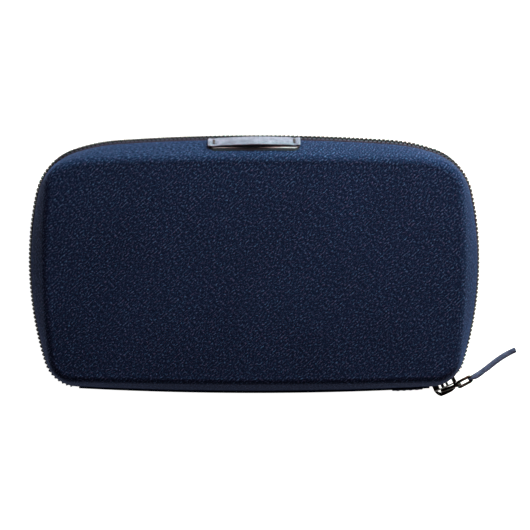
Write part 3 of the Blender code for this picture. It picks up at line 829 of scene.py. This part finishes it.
def makeSpine():
    low, high = depths["shell"] + 0.9 * mm, depths["whole"] - depths["shell"] - 0.9 * mm
    thick = spineLook["thick"]
    section = [
        (0.25 * mm, low),
        (0.05 * mm, low + 0.3 * mm),
        (-0.10 * mm, middle),
        (0.05 * mm, high - 0.3 * mm),
        (0.25 * mm, high),
        (thick - 0.2 * mm, high),
        (thick, high - 0.2 * mm),
        (thick, low + 0.2 * mm),
        (thick - 0.2 * mm, low),
    ]
    run = bottomRun(-spineLook["half"], spineLook["half"], 2.5 * mm)
    sweepRim("spineCloth", run, section, navyTwill, "spine", ("spine_fabric",), sharp=60)
    inner = [(2.75 * mm, low), (3.2 * mm, low + 0.2 * mm), (3.3 * mm, middle), (3.2 * mm, high - 0.2 * mm),
             (2.75 * mm, high), (2.6 * mm, middle)]
    sweepRim("spineLining", run, inner, slateLining, "spine", ("spine_lining",), sharp=60)
    creaseRun = bottomRun(-spineLook["half"] - 3 * mm, spineLook["half"] + 3 * mm, 2.5 * mm)
    reach = spineLook["crease"]
    for name, level, way in (
        ("backCrease", depths["shell"], 1),
        ("frontCrease", depths["whole"] - depths["shell"], -1),
    ):
        outer, innerSide = [], []
        for k in range(9):
            share = k / 8
            z = level + way * reach * (2 * share - 1)
            dip = 0.12 * mm * math.sin(math.pi * share)
            outer.append((-0.22 * mm + dip, z))
            innerSide.append((0.18 * mm + dip, z))
        strip = sweepRim(name, creaseRun, outer + innerSide[::-1], navyTwill, None, sharp=60)
        if way > 0:
            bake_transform(strip)
        else:
            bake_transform(strip)


tabLook = {"low": 15.4 * mm, "high": 24.6 * mm, "fromX": 62.6 * mm, "toX": 76.5 * mm, "seam": 1.1 * mm}


def makeEndTab():
    # leather tab sewn over the zip's end, on the outside of the spine
    low, high = tabLook["low"], tabLook["high"]
    section = [(-0.35 * mm, low), (-1.1 * mm, low + 0.1 * mm), (-1.45 * mm, low + 0.5 * mm),
               (-1.5 * mm, middle), (-1.45 * mm, high - 0.5 * mm), (-1.1 * mm, high - 0.1 * mm),
               (-0.35 * mm, high)]
    run = bottomRun(tabLook["fromX"], tabLook["toX"], 1.2 * mm)
    tab = sweepRim("zipEndTab", run, section, tagLeather, "spine", ("zip_end_tab",), sharp=50)
    rounded(tab, 0.3 * mm, 2)
    bm = bmesh.new()
    stations = bottomRun(tabLook["fromX"] + 1.2 * mm, tabLook["toX"] - 1.2 * mm, 2.6 * mm)
    for z in (low + tabLook["seam"], high - tabLook["seam"]):
        for (a, out), (b, _) in zip(stations, stations[1:]):
            centre = (a + b) / 2 + out * 1.48 * mm
            centre.z = z
            stitch(bm, centre, b - a, out, 1.8 * mm, 0.24 * mm)
    keep("zipEndStitches", bm, slateThread, "spine")


makeSpine()
makeEndTab()
print("spine made")


# Flat sewn panels inside

def makePanel(name, low, high, corner, edge, material, body, nodes=(), puff=0.0, cuts=18):
    # a plate with round corners and soft edges, slightly puffed on the side that shows
    bm = bmesh.new()
    size, centre = high - low, (high + low) / 2
    bmesh.ops.create_cube(bm, size=1.0, matrix=Matrix.Translation(centre) @ Matrix.Diagonal((*size, 1)))
    upright = [e for e in bm.edges if abs(e.verts[0].co.z - e.verts[1].co.z) > size.z / 2]
    bmesh.ops.bevel(bm, geom=upright, offset=corner, offset_type="OFFSET", affect="EDGES", segments=6,
                    profile=0.5, material=-1)
    outer = [e for e in bm.edges if abs(e.verts[0].co.z - e.verts[1].co.z) < size.z / 4]
    bmesh.ops.bevel(bm, geom=outer, offset=edge, offset_type="OFFSET", affect="EDGES", segments=2,
                    profile=0.5, material=-1)
    if puff:
        for k in range(1, cuts):
            for axis, span in ((Vector((1, 0, 0)), size.x), (Vector((0, 1, 0)), size.y)):
                bmesh.ops.bisect_plane(bm, geom=bm.verts[:] + bm.edges[:] + bm.faces[:],
                                       plane_co=low + axis * span * k / cuts, plane_no=axis)
        for vert in bm.verts:
            across = (vert.co - centre)
            fall = (1 - (2 * across.x / size.x) ** 2) * (1 - (2 * across.y / size.y) ** 2)
            vert.co.z += puff * max(fall, 0) ** 0.5
    return keep(name, bm, material, body, nodes, sharp=35)


def makeDocumentPocket():
    low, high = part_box("document_pocket")
    bm = bmesh.new()
    corner = 6 * mm
    # the panel's outline with round lower corners, open at the top, swept down as a gusset
    right = [Vector((high.x, high.y, 0)), Vector((high.x, (low.y + high.y) / 2, 0))]
    for k in range(9):
        turn = math.pi / 2 * k / 8
        right.append(Vector((high.x - corner * (1 - math.cos(turn)), low.y + corner * (1 - math.sin(turn)), 0)))
    left = [Vector((-p.x, p.y, 0)) for p in right[::-1]]
    edge = right + left
    loop = startLoop(bm, [p + Vector((0, 0, low.z - 0.2 * mm)) for p in edge], closed=False)
    for inset, z in ((0.0, high.z - 2.0 * mm), (0.25 * mm, high.z - 0.9 * mm), (0.9 * mm, high.z - 0.2 * mm),
                     (2.0 * mm, high.z), (5.6 * mm, high.z + 0.05 * mm)):
        places = []
        for p in edge:
            inward = Vector((min(max(p.x, low.x + corner), high.x - corner), max(p.y, low.y + corner), 0)) - p
            if inward.length > 1e-6:
                step = inward.normalized() * inset
            else:
                step = Vector((-math.copysign(inset, p.x), 0, 0))
            places.append(p + step + Vector((0, 0, z)))
        loop = growLoop(bm, loop, places, closed=False)
    bm.edges.new((loop[-1], loop[0]))
    capLoop(bm, loop)
    bmesh.ops.recalc_face_normals(bm, faces=bm.faces)
    top = max(bm.faces, key=lambda f: f.calc_area())
    if top.normal.z < 0:
        bmesh.ops.reverse_faces(bm, faces=bm.faces)
    pocket = keep("documentPocket", bm, slateLining, "back", ("document_pocket",), flip=False)
    wall = pocket.modifiers.new("cloth", "SOLIDIFY")
    wall.thickness = 1.2 * mm
    wall.offset = -1
    low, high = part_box("document_pocket_binding")
    makePanel("documentPocketBinding", low, high, 0.9 * mm, 0.5 * mm, pocketLeather, "back",
              ("document_pocket_binding",))


def makeCardSlots():
    seams = bmesh.new()
    for word in ("upper", "middle", "lower"):
        low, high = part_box(f"card_slot_{word}")
        makePanel(f"cardSlot{word.capitalize()}", low, high, 3 * mm, 0.22 * mm, pocketLeather, "back",
                  (f"card_slot_{word}",), puff=0.05 * mm)
        near, end = 1.6 * mm, 3 * mm  # from the panel's edge to its seam, and to the seam's ends
        z = high.z + 0.02 * mm
        rows = [(low.x + end, high.y - near, high.x - end, high.y - near)]
        if word == "lower":
            rows += [(low.x + near, low.y + end, low.x + near, high.y - end),
                     (high.x - near, low.y + end, high.x - near, high.y - end),
                     (low.x + end, low.y + near, high.x - end, low.y + near)]
        for fromX, fromY, toX, toY in rows:
            stitchLine(seams, Vector((fromX, fromY, z)), Vector((toX, toY, z)), up)
    keep("cardSlotStitches", seams, slateThread, "back")


def makeSlipPocket():
    low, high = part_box("slip_pocket")
    makePanel("slipPocket", low, high, 4 * mm, 0.3 * mm, pocketLeather, "back", ("slip_pocket",),
              puff=0.25 * mm)
    bm = bmesh.new()
    z = high.z + 0.03 * mm
    inset = 1.8 * mm
    corners = [Vector((low.x + inset, high.y - 5 * mm, z)), Vector((low.x + inset, low.y + inset, z)),
               Vector((high.x - inset, low.y + inset, z)), Vector((high.x - inset, high.y - 5 * mm, z))]
    for a, b in zip(corners, corners[1:]):
        stitchLine(bm, a, b, up)
    stitchLine(bm, Vector((low.x + 4 * mm, high.y - inset, z)), Vector((high.x - 4 * mm, high.y - inset, z)), up)
    keep("slipPocketStitches", bm, slateThread, "back")


netLook = {"cell": 2.4 * mm, "strand": 0.34 * mm, "turn": 4.5 * mm}


def makeNetPocket():
    low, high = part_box("mesh_pocket")
    bm = bmesh.new()
    width, height = high.x - low.x, high.y - low.y
    across, along = round(width / netLook["cell"]), round(height / netLook["cell"])
    bmesh.ops.create_grid(bm, x_segments=across, y_segments=along, size=0.5,
                          matrix=Matrix.Diagonal((width, height, 1, 1)))
    for vert in bm.verts:  # every other row shifts half a cell, which gives the net its slanting cells
        row = round((vert.co.y / height + 0.5) * along)
        if row % 2 and abs(vert.co.x) < width / 2 - netLook["cell"]:
            vert.co.x += netLook["cell"] / 2
    deep = high.z - low.z - 0.6 * mm
    for vert in bm.verts:
        spot = vert.co + Vector(((low.x + high.x) / 2, (low.y + high.y) / 2, 0))
        near = min(high.x - abs(spot.x), spot.y - low.y) / netLook["turn"]
        rise = deep * (1 - math.sin(min(max(near, 0), 1) * math.pi / 2)) ** 1.6
        sag = -0.25 * mm * math.cos(spot.x / high.x * math.pi / 2)
        vert.co = Vector((spot.x, spot.y, low.z + 0.45 * mm + rise + sag * (rise < deep * 0.2)))
    bmesh.ops.wireframe(bm, faces=bm.faces, thickness=netLook["strand"], offset=0.0, use_replace=True,
                        use_boundary=True, use_even_offset=True)
    keep("netPocket", bm, net, "front", ("mesh_pocket",))
    low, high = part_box("mesh_pocket_binding")
    bm = bmesh.new()
    centre, half = (low + high) / 2, (high - low) / 2
    section = []
    for k in range(12):
        wave, rise = math.cos(math.tau * k / 12), math.sin(math.tau * k / 12)
        section.append((centre.y + half.y * math.copysign(abs(wave) ** 0.4, wave),
                        centre.z + half.z * math.copysign(abs(rise) ** 0.6, rise)))
    xs = [low.x + (high.x - low.x) * k / 60 for k in range(61)]
    unroll(bm, loft(bm, [[Vector((x, y, z)) for y, z in section] for x in xs]), xs, section)
    keep("netPocketBinding", bm, elastic, "front", ("mesh_pocket_binding",), sharp=60)


penLook = {"wall": 0.7 * mm, "sides": 40, "rings": 12}


def makePenLoop():
    # a ribbon of elastic sewn into a loop: thin wall, open both ends
    low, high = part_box("pen_loop")
    centre, outer = (low + high) / 2, (high.y - low.y) / 2
    bm = bmesh.new()
    turned = Matrix.Translation((low.x, centre.y, centre.z)) @ Matrix.Rotation(math.pi / 2, 4, "Y")
    sides, rings = penLook["sides"], penLook["rings"]
    bmesh.ops.create_circle(bm, cap_ends=False, segments=sides, radius=outer - 0.25 * mm, matrix=turned)
    loop = sorted(bm.verts, key=lambda v: math.atan2(v.co.z - centre.z, v.co.y - centre.y))
    around = math.tau * outer
    spots = {vert: (around * i / sides, low.x) for i, vert in enumerate(loop)}
    for k in range(1, rings + 1):
        x = low.x + (high.x - low.x) * k / rings
        loop = growLoop(bm, loop, [Vector((x, v.co.y, v.co.z)) for v in loop])
        spots.update({vert: (around * i / sides, x) for i, vert in enumerate(loop)})
    layer = bm.loops.layers.uv.new("cloth")
    for face in bm.faces:
        us = [spots[c.vert][0] for c in face.loops]
        for corner, u in zip(face.loops, us):
            corner[layer].uv = (u + around if max(us) - u > around / 2 else u, spots[corner.vert][1])
    bmesh.ops.recalc_face_normals(bm, faces=bm.faces)
    made = keep("penLoop", bm, elastic, "front", ("pen_loop",), flip=False, sharp=60)
    wall = made.modifiers.new("ribbon", "SOLIDIFY")
    wall.thickness = penLook["wall"]
    wall.offset = 0
    tacks = bmesh.new()
    for x in (low.x + 1.2 * mm, high.x - 1.2 * mm):
        for k in range(7):
            place = Vector((x, centre.y + (k - 3) * 0.9 * mm, high.z - 0.25 * mm))
            stitch(tacks, place, Vector((1, 0.2, 0)), -up, 1.6 * mm, 0.22 * mm)
    keep("penLoopTacks", tacks, blackThread, "front")


makeDocumentPocket()
makeCardSlots()
makeSlipPocket()
makeNetPocket()
makePenLoop()
print("pockets made")


# Grip tag on the front half's top wall

tagLook = {
    "half": 20.7 * mm,
    "backingThick": 0.85 * mm,
    # painted black, this slant is a painted shadow under the tag as well as edge paint
    "slant": 1.0 * mm,
    "backingFrom": 2.0 * mm,  # down from the wall's top
    "backingTo": 9.15 * mm,
    "strapOut": 1.3 * mm,
    "strapDownMm": 5.15,
    "bowDownMm": 0.95,  # the bowed part hangs this much lower
    "slopeMm": 0.45,  # the strap's right end sits this much higher than its middle
    "strapThick": 1.1 * mm,
    "strapHalfWide": 3.2 * mm,
    "bow": 0.7 * mm,
    "tackAt": 18.0 * mm,
    "tackRows": 7,
    "tackPitchMm": 0.47,
    "backing": ((-20.3, 7.5), (-20.0, 7.9), (-18.4, 9.0), (-18.0, 9.15), (18.0, 9.15), (18.4, 9.0), (20.0, 7.9),
                (20.3, 7.5)),
}
wallTop = Vector((0, outlines["rim"]["top"], depths["whole"] - depths["shell"]))
downWall = Vector((0, outlines["face"]["top"] - outlines["rim"]["top"], depths["shell"])).normalized()
outWall = Vector((0, downWall.z, -downWall.y))


def onWall(x, down, out):
    sag = x * x / (2 * outlines["rim"]["arcs"][0][0] * mm)
    return wallTop + Vector((x, -sag, 0)) + downWall * down + outWall * out


def tagBow(x):
    share = max(0.0, 1.0 - abs(x) / (tagLook["half"] - 5 * mm))
    return tagLook["bow"] * math.sin(share * math.pi / 2) ** 2


def roundedSection(x, downFrom, downTo, outFrom, outTo, r):
    # eight corners of a strip's cross section on the wall, with its edges eased
    return [
        onWall(x, downFrom + r, outFrom), onWall(x, downTo - r, outFrom),
        onWall(x, downTo, outFrom + r), onWall(x, downTo, outTo - r),
        onWall(x, downTo - r, outTo), onWall(x, downFrom + r, outTo),
        onWall(x, downFrom, outTo - r), onWall(x, downFrom, outFrom + r),
    ]


def paintEdgesAndShadow(bm, limit):
    # marks the faces that turn away from the wall's own way out, for black edge paint; on the backing's slant the
    # mark is a painted shadow
    bmesh.ops.recalc_face_normals(bm, faces=bm.faces)
    layer = bm.faces.layers.float.new("edgePaintAndShadow")
    bm.normal_update()
    for face in bm.faces:
        face[layer] = 1.0 if face.normal.dot(outWall) < limit else 0.0


def makeTag():
    bm = bmesh.new()
    rings = []
    corners = [(x * mm, down * mm) for x, down in tagLook["backing"]]
    stations = corners[:4] + [(x * mm, tagLook["backingTo"]) for x in range(-15, 16, 3)] + corners[4:]
    for x, down in stations:
        top = 0.15 * mm + tagLook["backingThick"]
        places = roundedSection(x, tagLook["backingFrom"], down, 0.15 * mm, top, 0.2 * mm)
        for i in (1, 2):  # the lower edge is cut on a slant and painted black: the leather's edge paint, widened into a painted shadow of the tag on the wall
            places[i] += downWall * tagLook["slant"]
        rings.append(places)
    loft(bm, rings)
    # the high limit paints the slant black too, as a painted shadow
    paintEdgesAndShadow(bm, 0.96)
    keep("tagBacking", bm, backingLeather, "front", ("tag_backing",), flip=False, sharp=60)
    bm = bmesh.new()
    rings = []
    base = tagLook["strapOut"]
    for k in range(-36, 37):
        x = tagLook["half"] * k / 36
        bow = tagBow(x)
        share = bow / tagLook["bow"]
        nip = 0.4 * mm * math.exp(-(((abs(x) - tagLook["tackAt"]) / (1.4 * mm)) ** 2))
        end = 0.35 * mm if abs(k) == 36 else 0.0
        slope = tagLook["slopeMm"] * x / tagLook["half"]
        centre = (tagLook["strapDownMm"] + tagLook["bowDownMm"] * share - slope) * mm
        half = tagLook["strapHalfWide"] + 0.3 * mm * share - end
        top = base + bow + tagLook["strapThick"] - nip - end * 0.3
        roll = 0.32 * mm * share  # the bowed part curls a little at its lower edge
        under = base + bow - nip * 0.3 + end * 0.3
        places = roundedSection(x, centre - half, centre + half, under, top, 0.25 * mm)
        for i in (1, 2, 3, 4):
            places[i] += outWall * roll
        rings.append(places)
    loft(bm, rings)
    paintEdgesAndShadow(bm, 0.5)
    keep("tagStrap", bm, tagLeather, "front", ("tag_strap",), flip=False, sharp=60)
    for word, way in (("Left", -1), ("Right", 1)):
        bm = bmesh.new()
        x = way * tagLook["tackAt"]
        for k in range(tagLook["tackRows"]):
            down = (3.5 - tagLook["slopeMm"] * way + tagLook["tackPitchMm"] * k) * mm
            a = onWall(x - 0.5 * mm, down, base + 0.95 * mm)
            b = onWall(x + 0.5 * mm, down + 0.25 * mm, base + 0.95 * mm)
            stitch(bm, (a + b) / 2, b - a, outWall, 1.25 * mm, 0.25 * mm)
        keep(f"tagTack{word}", bm, tackThread, "front", (f"tag_tack_{word.lower()}",))


makeTag()
print("tag made")


# Slider, link, ring and leather pull

joints = {joint["name"]: joint for joint in frame["joints"]}
cornerCentre = Vector((*joints["slider_run"]["pos_m"][:2], 0))
sliderLook = {
    "heading": 155.0,
    "halfLength": 5.5 * mm,
    "halfWidth": 4.9 * mm,
    "plateOut": 18.45 * mm,
    "plateIn": 17.85 * mm,
    "innerPlate": (10.8 * mm, 11.7 * mm),
    "flange": (14.65 * mm, 15.2 * mm),
    "flangeTeeth": ((-5.4, -2.9), (-1.65, -0.5), (0.65, 1.5), (3.9, 5.4)),
    "post": (-5.2 * mm, -3.4 * mm),
    "crown": (18.1 * mm, 20.42 * mm),
    "lean": 0.19,  # the slider rolls a little inwards at its upper side
}
facing = math.radians(90 - sliderLook["heading"])
radial = Vector((math.cos(facing), math.sin(facing), 0))
along = Vector((-radial.y, radial.x, 0))


def atSlider(t, r, z):
    return cornerCentre + along * t + radial * (r - z * sliderLook["lean"]) + up * (middle + z)


def sweepPlaces(name, rings, material, body, nodes=(), sharp=40):
    bm = bmesh.new()
    loft(bm, rings)
    return keep(name, bm, material, body, nodes, sharp=sharp)


def addBar(bm, tFrom, tTo, rFrom, rTo, zFrom, zTo):
    # a block between two corners in the slider's own directions
    size = (tTo - tFrom, rTo - rFrom, zTo - zFrom)
    turn = Matrix((along * size[0], radial * size[1], up * size[2])).transposed().to_4x4()
    centre = atSlider((tFrom + tTo) / 2, (rFrom + rTo) / 2, (zFrom + zTo) / 2)
    bmesh.ops.create_cube(bm, size=1.0, matrix=Matrix.Translation(centre) @ turn)


def makeSlider():
    # die-cast body: a waisted outer plate, two open flanges that hold the tape, an inner plate, and the post
    # between the plates that parts the rows
    outerPlate, innerPlate = [], []
    for k in range(-8, 9):
        t = sliderLook["halfLength"] * k / 8
        share = k / 8
        half = sliderLook["halfWidth"] - (0.35 + 0.65 * share) * 0.55 * mm
        half -= 0.9 * mm * max(0.0, abs(share) - 0.82) / 0.18
        crown = 0.25 * mm * (1 - share * share)
        out, inn = sliderLook["plateOut"] - 0.25 * mm + crown, sliderLook["plateIn"]
        outerPlate.append([atSlider(t, r, z) for r, z in (
            (out - 0.5 * mm, -half), (out, -half + 0.6 * mm), (out + 0.1 * mm, 0), (out, half - 0.6 * mm),
            (out - 0.5 * mm, half), (inn, half), (inn, -half))])
        near, far = sliderLook["innerPlate"]
        innerPlate.append([atSlider(t, r, z) for r, z in (
            (near, -half + 0.3 * mm), (far, -half), (far, half), (near, half - 0.3 * mm))])
    outer = sweepPlaces("sliderBody", outerPlate, blackNickel, "slider", ("slider_body",))
    rounded(outer, 0.18 * mm, 2)
    rounded(sweepPlaces("sliderInnerPlate", innerPlate, blackNickel, "slider"), 0.2 * mm, 2)
    bm = bmesh.new()
    inn, end = sliderLook["plateIn"] + 0.2 * mm, sliderLook["halfLength"]
    half = sliderLook["halfWidth"] - 0.5 * mm
    for way in (-1, 1):
        near, far = sorted((way * (half - 0.8 * mm), way * half))
        addBar(bm, -end + 0.15 * mm, end - 0.15 * mm, *sliderLook["flange"], near, far)
        for tFrom, tTo in sliderLook["flangeTeeth"]:
            addBar(bm, tFrom * mm, tTo * mm, sliderLook["flange"][0], inn, near, far)
    addBar(bm, *sliderLook["post"], 11.2 * mm, inn, -0.28 * mm, 0.28 * mm)
    rounded(keep("sliderFlanges", bm, blackNickel, "slider"), 0.16 * mm, 2)
    # crown: a thick bar cast as a low bridge on splayed legs
    crown = []
    base, top = sliderLook["crown"]
    path = [  # (along the slider, outwards, half thickness in mm)
        (-4.9, base, 0.5), (-4.6, base + 0.9 * mm, 0.48), (-4.15, top - 0.7 * mm, 0.55),
        (-3.4, top + 0.05 * mm, 0.68), (-1.8, top + 0.1 * mm, 0.7), (0, top + 0.12 * mm, 0.7),
        (1.8, top + 0.05 * mm, 0.66), (3.2, top - 0.3 * mm, 0.6), (3.9, top - 0.95 * mm, 0.5),
        (4.25, base + 0.8 * mm, 0.46), (4.5, base, 0.5)]
    for i, (t, r, thick) in enumerate(path):
        before, after = path[max(i - 1, 0)], path[min(i + 1, len(path) - 1)]
        way = Vector(((after[0] - before[0]) * mm, after[1] - before[1])).normalized()
        side = Vector((way.y, -way.x)) * thick * 1.33 * mm
        wide = 1.5 * mm if 0 < i < len(path) - 1 else 1.8 * mm
        t *= mm
        crown.append([
            atSlider(t - side.x, r - side.y, -wide), atSlider(t + side.x, r + side.y, -wide),
            atSlider(t + side.x, r + side.y, wide), atSlider(t - side.x, r - side.y, wide)])
    rounded(sweepPlaces("sliderCrown", crown, blackNickel, "slider", ("slider_crown",), sharp=60),
            0.3 * mm, 3, 50)


linkPivot = Vector(joints["link_swivel"]["pos_m"])
ringPivot = Vector(joints["tab_swivel"]["pos_m"])
pullLook = {
    "linkHalf": 2.6 * mm,
    "linkWire": 0.72 * mm,
    "ringWire": 0.68 * mm,
    "ringLong": 3.6 * mm,
    "ringWide": 1.22 * mm,
    "ringDirection": 26,
    "ringDroop": 12,
}


def raceTrack(centre, way, across, halfLong, halfWide, corner, steps=7):
    places = []
    for quarter, (sx, sy) in enumerate(((1, 1), (-1, 1), (-1, -1), (1, -1))):
        for k in range(steps + 1):
            turn = math.pi / 2 * (quarter + k / steps)
            long = sx * (halfLong - corner) + corner * math.cos(turn)
            wide = sy * (halfWide - corner) + corner * math.sin(turn)
            places.append(centre + way * long + across * wide)
    return places


def makePull():
    linkWay = (ringPivot - linkPivot).normalized()
    reach = (ringPivot - linkPivot).length
    leaning = (up - radial * sliderLook["lean"]).normalized()
    middleOfLink = (linkPivot + ringPivot) / 2
    track = raceTrack(middleOfLink, linkWay, leaning, reach / 2, pullLook["linkHalf"], 1.1 * mm)
    wire("pullLink", track, pullLook["linkWire"], blackNickel, "link", ("pull_link",),
         closed=True, sides=3)
    turn, droop = math.radians(pullLook["ringDirection"]), math.radians(pullLook["ringDroop"])
    flatWay = Vector((math.cos(turn), math.sin(turn), 0))
    ringWay = flatWay * math.cos(droop) - up * math.sin(droop)
    across = up.cross(flatWay)
    ringLong = pullLook["ringLong"]
    centre = ringPivot + ringWay * (ringLong - 1.2 * mm)
    wire("pullRing", raceTrack(centre, ringWay, across, ringLong, pullLook["ringWide"], 1.2 * mm),
         pullLook["ringWire"], blackNickel, "pull", ("pull_ring",), closed=True, sides=3)
    eye = centre + ringWay * ringLong
    # strap: folded round the ring, two layers glued and sewn, falling to the table at its tip
    line = [  # (reach, drop, side step, half height, half width)
        (-1.62, 0.0, 0.0, 0.55, 0.42), (-1.45, 0.0, 0.0, 1.0, 0.48), (-1.05, 0.0, 0.0, 1.4, 0.5),
        (-0.5, 0.0, 0.0, 1.66, 0.52), (0.3, -0.2, -0.05, 1.75, 0.7), (1.1, -0.6, -0.15, 1.65, 0.98),
        (2.2, -1.3, -0.25, 1.38, 1.14), (4.4, -2.8, -0.25, 1.14, 1.12), (6.4, -4.45, -0.17, 1.1, 1.1),
        (8.5, -6.1, -0.1, 1.1, 1.15), (10.4, -7.8, 0.06, 1.1, 1.15), (12.4, -9.5, 0.2, 1.1, 1.15),
        (14.4, -11.05, 0.28, 1.1, 1.15), (16.3, -12.5, 0.3, 1.1, 1.15), (18.2, -13.7, 0.27, 1.1, 1.15),
        (20.0, -14.7, 0.2, 1.1, 1.14), (21.8, -15.45, 0.07, 1.1, 1.12), (23.2, -15.95, -0.06, 1.1, 1.1),
        (23.45, -16.0, -0.1, 1.0, 1.0),
    ]
    places = [eye + flatWay * (a * mm) + up * (b * mm) + across * (c * mm) for a, b, c, *_ in line]
    rings, seamRows = [], []
    ease, nick, glueLine = 0.22 * mm, 0.12 * mm, 0.12 * mm
    for i, (place, (*_, high, wide)) in enumerate(zip(places, line)):
        forward = (places[min(i + 1, len(places) - 1)] - places[max(i - 1, 0)]).normalized()
        sideways = up.cross(forward).normalized()
        above = forward.cross(sideways)
        high, wide = high * mm, wide * mm
        half = [(wide - ease, high), (wide, high - ease), (wide, glueLine), (wide - nick, 0), (wide, -glueLine),
                (wide, ease - high), (wide - ease, -high)]
        section = half + [(-a, -b) for a, b in half]
        rings.append([place + sideways * a + above * b for a, b in section])
        seamRows.append((place, forward, above, high))
    strap = sweepPlaces("pullStrap", rings, pullLeather, "pull", ("pull_strap",), sharp=60)
    cutter = bmesh.new()
    bmesh.ops.create_cone(cutter, cap_ends=True, segments=24, radius1=0.75 * mm, radius2=0.75 * mm, depth=8 * mm)
    tilt = across.to_track_quat("Z", "Y").to_matrix().to_4x4()
    bmesh.ops.transform(cutter, matrix=Matrix.Translation(eye) @ tilt, verts=cutter.verts)
    tool = bpy.data.meshes.new("eyeTool")
    cutter.to_mesh(tool)
    cutter.free()
    helper = bpy.data.objects.new("eyeTool", tool)
    scene.collection.objects.link(helper)
    cut = strap.modifiers.new("eye", "BOOLEAN")
    cut.operation = "DIFFERENCE"
    cut.object = helper
    bpy.context.view_layer.update()
    strap.data = bpy.data.meshes.new_from_object(strap.evaluated_get(bpy.context.evaluated_depsgraph_get()))
    strap.modifiers.clear()
    bpy.data.objects.remove(helper)
    bm = bmesh.new()
    for i in range(6, len(seamRows) - 2):
        place, forward, above, high = seamRows[i]
        stitch(bm, place + above * high, forward, above, 1.5 * mm, 0.17 * mm)
    keep("pullStitches", bm, pullThread, "pull")


makeSlider()
makePull()
print("slider and pull made")


# Floor, lights and camera

studio = {
    "frameWidth": 240.3 * mm,  # across the picture at the wallet's middle height
    "distance": 1.6,
    "tilt": 9.0,
    "aim": Vector((4.85 * mm, -0.4 * mm, 20 * mm)),
    "floorGlow": 1.0,
    "world": 0.05,
    "lights": (  # (name, place, size, watts, colour)
        ("key", (0.17, 0.43, 0.28), 0.30, 5.6, "ffd6ca"),
        ("window", (0.24, 0.54, 0.10), 0.34, 8.6, "81ffee"),
        ("side", (0.45, 0.30, 0.17), 0.26, 1.3, "ffc8a0"),
    ),
}


def makeFloor():
    bm = bmesh.new()
    bmesh.ops.create_grid(bm, x_segments=1, y_segments=1, size=4.0)
    mesh = bpy.data.meshes.new("floor")
    bm.to_mesh(mesh)
    bm.free()
    # opal acrylic table top, lit from below
    made, tree, shader = newMaterial("opalAcrylicTable", {
        "Roughness": 0.9,
        "Specular IOR Level": 0.1,
        "Emission Color": "ffffff",
        "Emission Strength": studio["floorGlow"],
    })
    clouds = addNode(tree, "TexNoise", {
        "Vector": inMillimetres(tree), "Scale": 0.02, "Detail": 2.0, "Roughness": 0.55})
    mottled = addNode(tree, "MapRange", (clouds, 0.3, 0.7))
    tone = addNode(tree, "Mix", {0: mottled, 6: "f2f2f2", 7: "f6f6f6"}, 2, data_type="RGBA")
    tree.links.new(tone, shader.inputs["Base Color"])
    mesh.materials.append(made)
    floor = bpy.data.objects.new("floor", mesh)
    floor.location.z = -0.0002
    scene.collection.objects.link(floor)


def addLight(name, place, size, watts, colour):
    data = bpy.data.lights.new(name, "AREA")
    data.shape = "DISK"
    data.size = size
    data.energy = watts
    data.color = linear(colour)[:3]
    light = bpy.data.objects.new(name, data)
    light.location = place
    light.rotation_mode = "QUATERNION"
    light.rotation_quaternion = (Vector((0.02, 0, 0.03)) - Vector(place)).to_track_quat("-Z", "Y")
    light.visible_camera = False
    scene.collection.objects.link(light)


def makeWorld():
    # white to the eye, dim as a light
    world = bpy.data.worlds.new("studio")
    world.use_nodes = True
    tree = world.node_tree
    seen = addNode(tree, "LightPath", out="Is Camera Ray")
    strength = addNode(tree, "MapRange", (seen, 0.0, 1.0, studio["world"], 1.0))
    plug(tree, tree.nodes["Background"], {"Color": "ffffff", "Strength": strength})
    scene.world = world


def makeStudio():
    makeFloor()
    for light in studio["lights"]:
        addLight(*light)
    makeWorld()
    tilt = math.radians(studio["tilt"])
    back = Vector((0, math.sin(tilt), math.cos(tilt)))
    data = bpy.data.cameras.new("camera")
    data.sensor_width = 36.0
    data.lens = 36.0 * studio["distance"] / studio["frameWidth"]
    data.clip_start, data.clip_end = 0.05, 20
    camera = bpy.data.objects.new("camera", data)
    camera.location = studio["aim"] + back * studio["distance"]
    camera.rotation_euler = (-tilt, 0, 0)
    scene.collection.objects.link(camera)
    scene.camera = camera
    scene.view_settings.view_transform = "Standard"
    scene.view_settings.look = "None"


makeStudio()
print("studio made")
